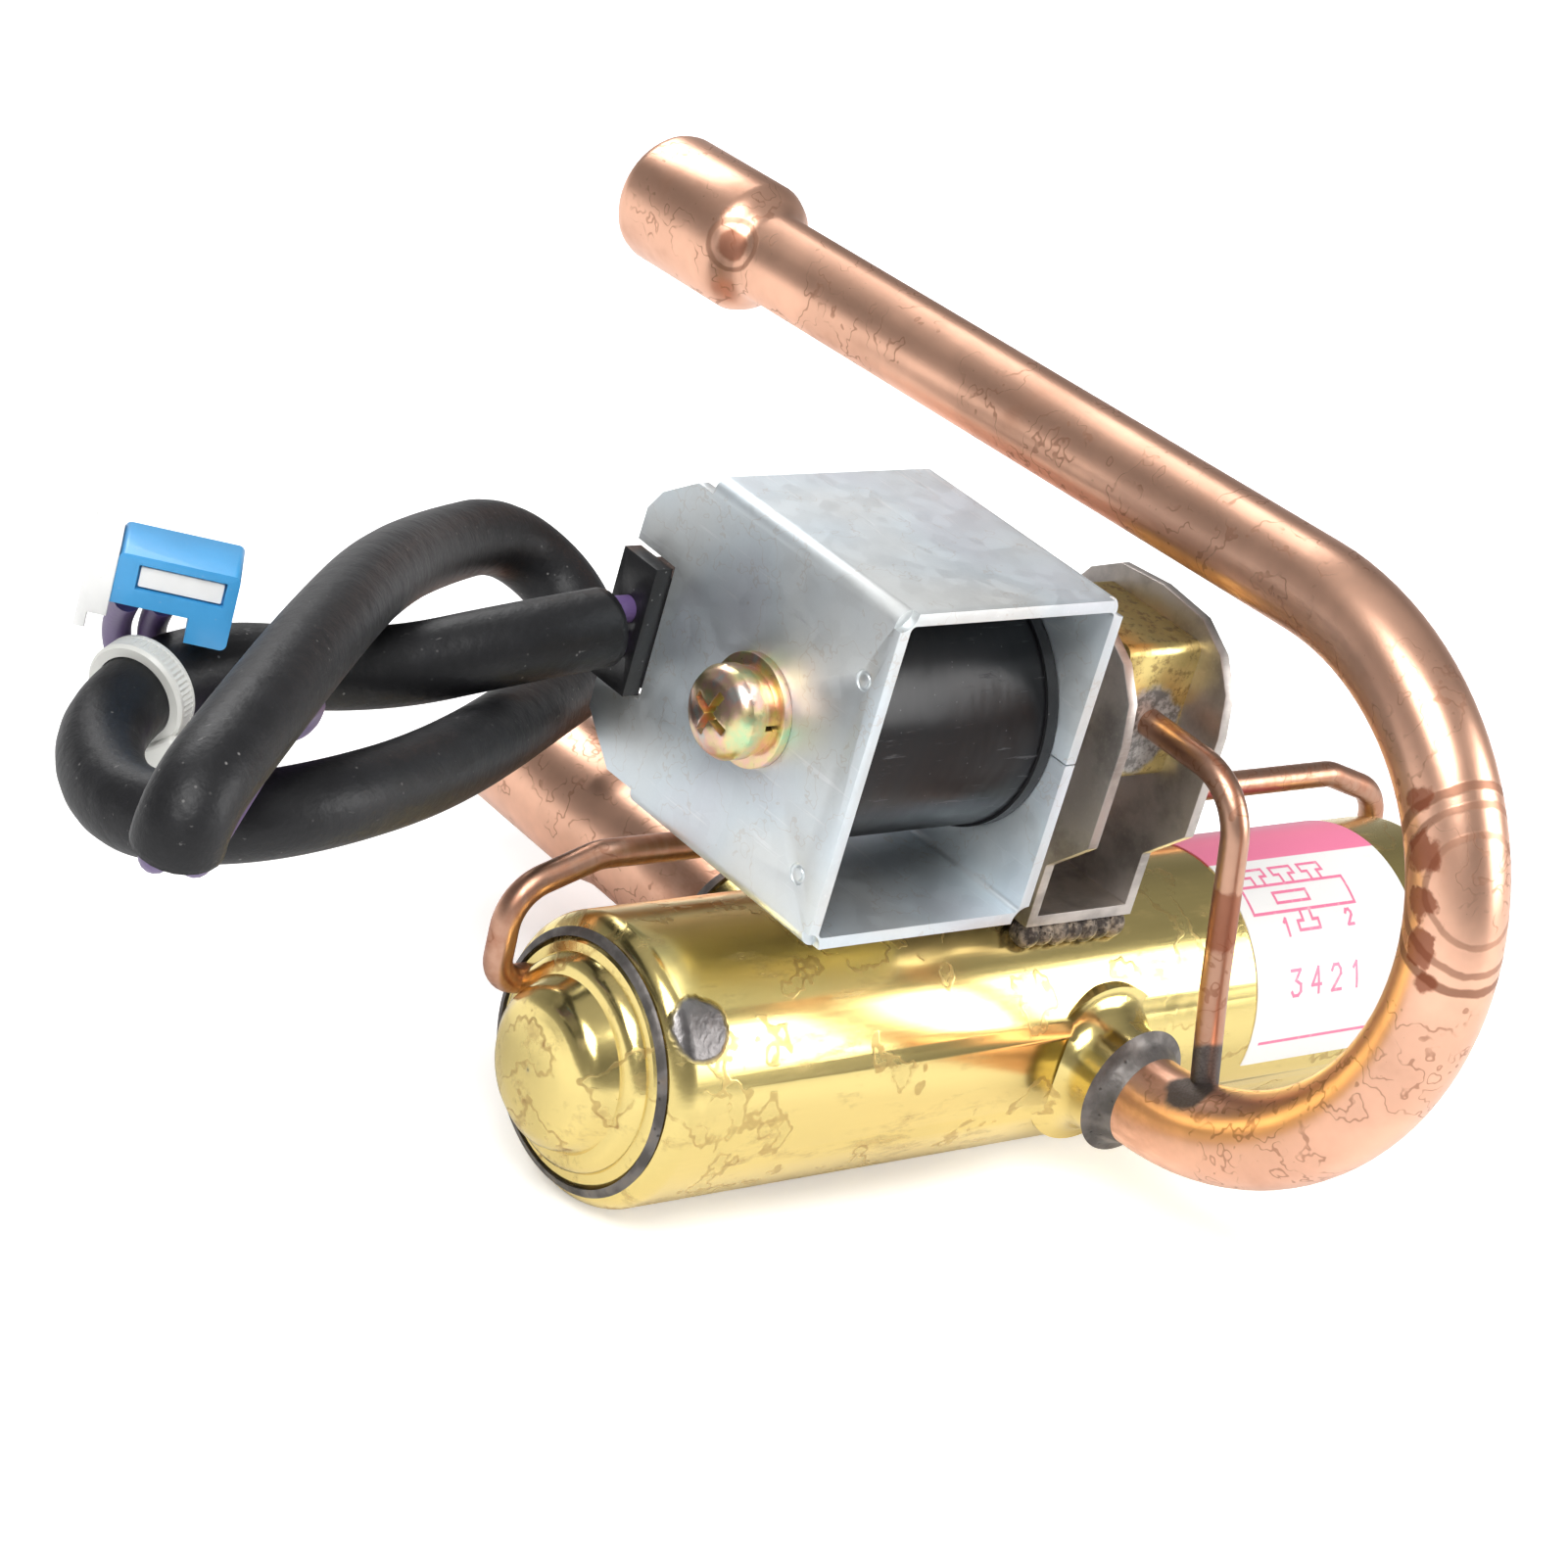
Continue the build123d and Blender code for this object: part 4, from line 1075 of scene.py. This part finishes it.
def build_stage():
    """Floor, surround, lamps and camera."""
    build_world()
    build_floor()
    for name, place, size, share in LAMPS:
        add_lamp(name, place, size, sizes().key_light * share)
    data = bpy.data.cameras.new("camera")
    data.sensor_fit = "HORIZONTAL"
    data.sensor_width = 36.0
    data.lens = sizes().lens
    data.clip_start = 0.01
    camera = bpy.data.objects.new("camera", data)
    camera.location = CAMERA_AT
    camera.rotation_mode = "QUATERNION"
    camera.rotation_quaternion = Quaternion(CAMERA_TURN)
    scene = bpy.context.scene
    scene.collection.objects.link(camera)
    scene.camera = camera
    scene.view_settings.view_transform = "Standard"


# ---- operators, one for each group of pieces ----
class ValveStep:
    """A step that calls one function."""

    bl_options = {"REGISTER", "UNDO"}

    def execute(self, context):
        type(self).work()
        return {"FINISHED"}


class VALVE_OT_barrel(ValveStep, Operator):
    """Dress the barrel, its caps, the seat and the brazed joints"""

    bl_idname = "valve.barrel"
    bl_label = "Barrel and caps"
    work = staticmethod(dress_barrel)


class VALVE_OT_tubes(ValveStep, Operator):
    """Dress the copper tubes and capillaries"""

    bl_idname = "valve.tubes"
    bl_label = "Copper tubes"
    work = staticmethod(dress_tubes)


class VALVE_OT_inside(ValveStep, Operator):
    """Dress the slide, frame and pistons"""

    bl_idname = "valve.inside"
    bl_label = "Slide and pistons"
    work = staticmethod(dress_inside)


class VALVE_OT_pilot(ValveStep, Operator):
    """Dress the pilot body, guide tube and plunger, and wind the return spring"""

    bl_idname = "valve.pilot"
    bl_label = "Pilot valve"
    work = staticmethod(dress_pilot)


class VALVE_OT_bracket(ValveStep, Operator):
    """Dress the bracket and its welds"""

    bl_idname = "valve.bracket"
    bl_label = "Bracket and welds"
    work = staticmethod(dress_bracket)


class VALVE_OT_coil(ValveStep, Operator):
    """Dress the coil frame, film, bobbin and winding"""

    bl_idname = "valve.coil"
    bl_label = "Coil"
    work = staticmethod(dress_coil)


class VALVE_OT_screw(ValveStep, Operator):
    """Dress the coil screw and washers"""

    bl_idname = "valve.screw"
    bl_label = "Screw and washers"
    work = staticmethod(dress_screw)


class VALVE_OT_lead(ValveStep, Operator):
    """Build the lead's sleeve and tie, and dress its wires and connector"""

    bl_idname = "valve.lead"
    bl_label = "Lead and connector"
    work = staticmethod(build_lead)


class VALVE_OT_label(ValveStep, Operator):
    """Dress the label and print its diagram"""

    bl_idname = "valve.label"
    bl_label = "Label"
    work = staticmethod(build_label)


class VALVE_OT_stage(ValveStep, Operator):
    """Set up the floor, the light and the camera"""

    bl_idname = "valve.stage"
    bl_label = "Studio"
    work = staticmethod(build_stage)


STEPS = (
    VALVE_OT_barrel,
    VALVE_OT_tubes,
    VALVE_OT_inside,
    VALVE_OT_pilot,
    VALVE_OT_bracket,
    VALVE_OT_coil,
    VALVE_OT_screw,
    VALVE_OT_lead,
    VALVE_OT_label,
    VALVE_OT_stage,
)


class VALVE_PT_steps(Panel):
    """Lists the steps, sizes and colours"""

    bl_label = "Reversing valve"
    bl_idname = "VALVE_PT_steps"
    bl_space_type = "VIEW_3D"
    bl_region_type = "UI"
    bl_category = "Valve"

    def draw(self, context):
        for step in STEPS:
            self.layout.operator(step.bl_idname)
        for group in (context.scene.valve_sizes, context.scene.valve_colours):
            for name in group.bl_rna.properties.keys():
                if name not in ("rna_type", "name"):
                    self.layout.prop(group, name)


CLASSES = (ValveColours, ValveSizes, *STEPS, VALVE_PT_steps)


def register():
    """Adds the classes and the sidebar's values."""
    for cls in CLASSES:
        bpy.utils.register_class(cls)
    bpy.types.Scene.valve_colours = PointerProperty(type=ValveColours)
    bpy.types.Scene.valve_sizes = PointerProperty(type=ValveSizes)


def unregister():
    """Takes them away again."""
    del bpy.types.Scene.valve_sizes
    del bpy.types.Scene.valve_colours
    for cls in reversed(CLASSES):
        bpy.utils.unregister_class(cls)


def main():
    """Runs every step."""
    register()
    for step in STEPS:
        group, name = step.bl_idname.split(".")
        getattr(getattr(bpy.ops, group), name)()


if __name__ == "__main__":
    main()
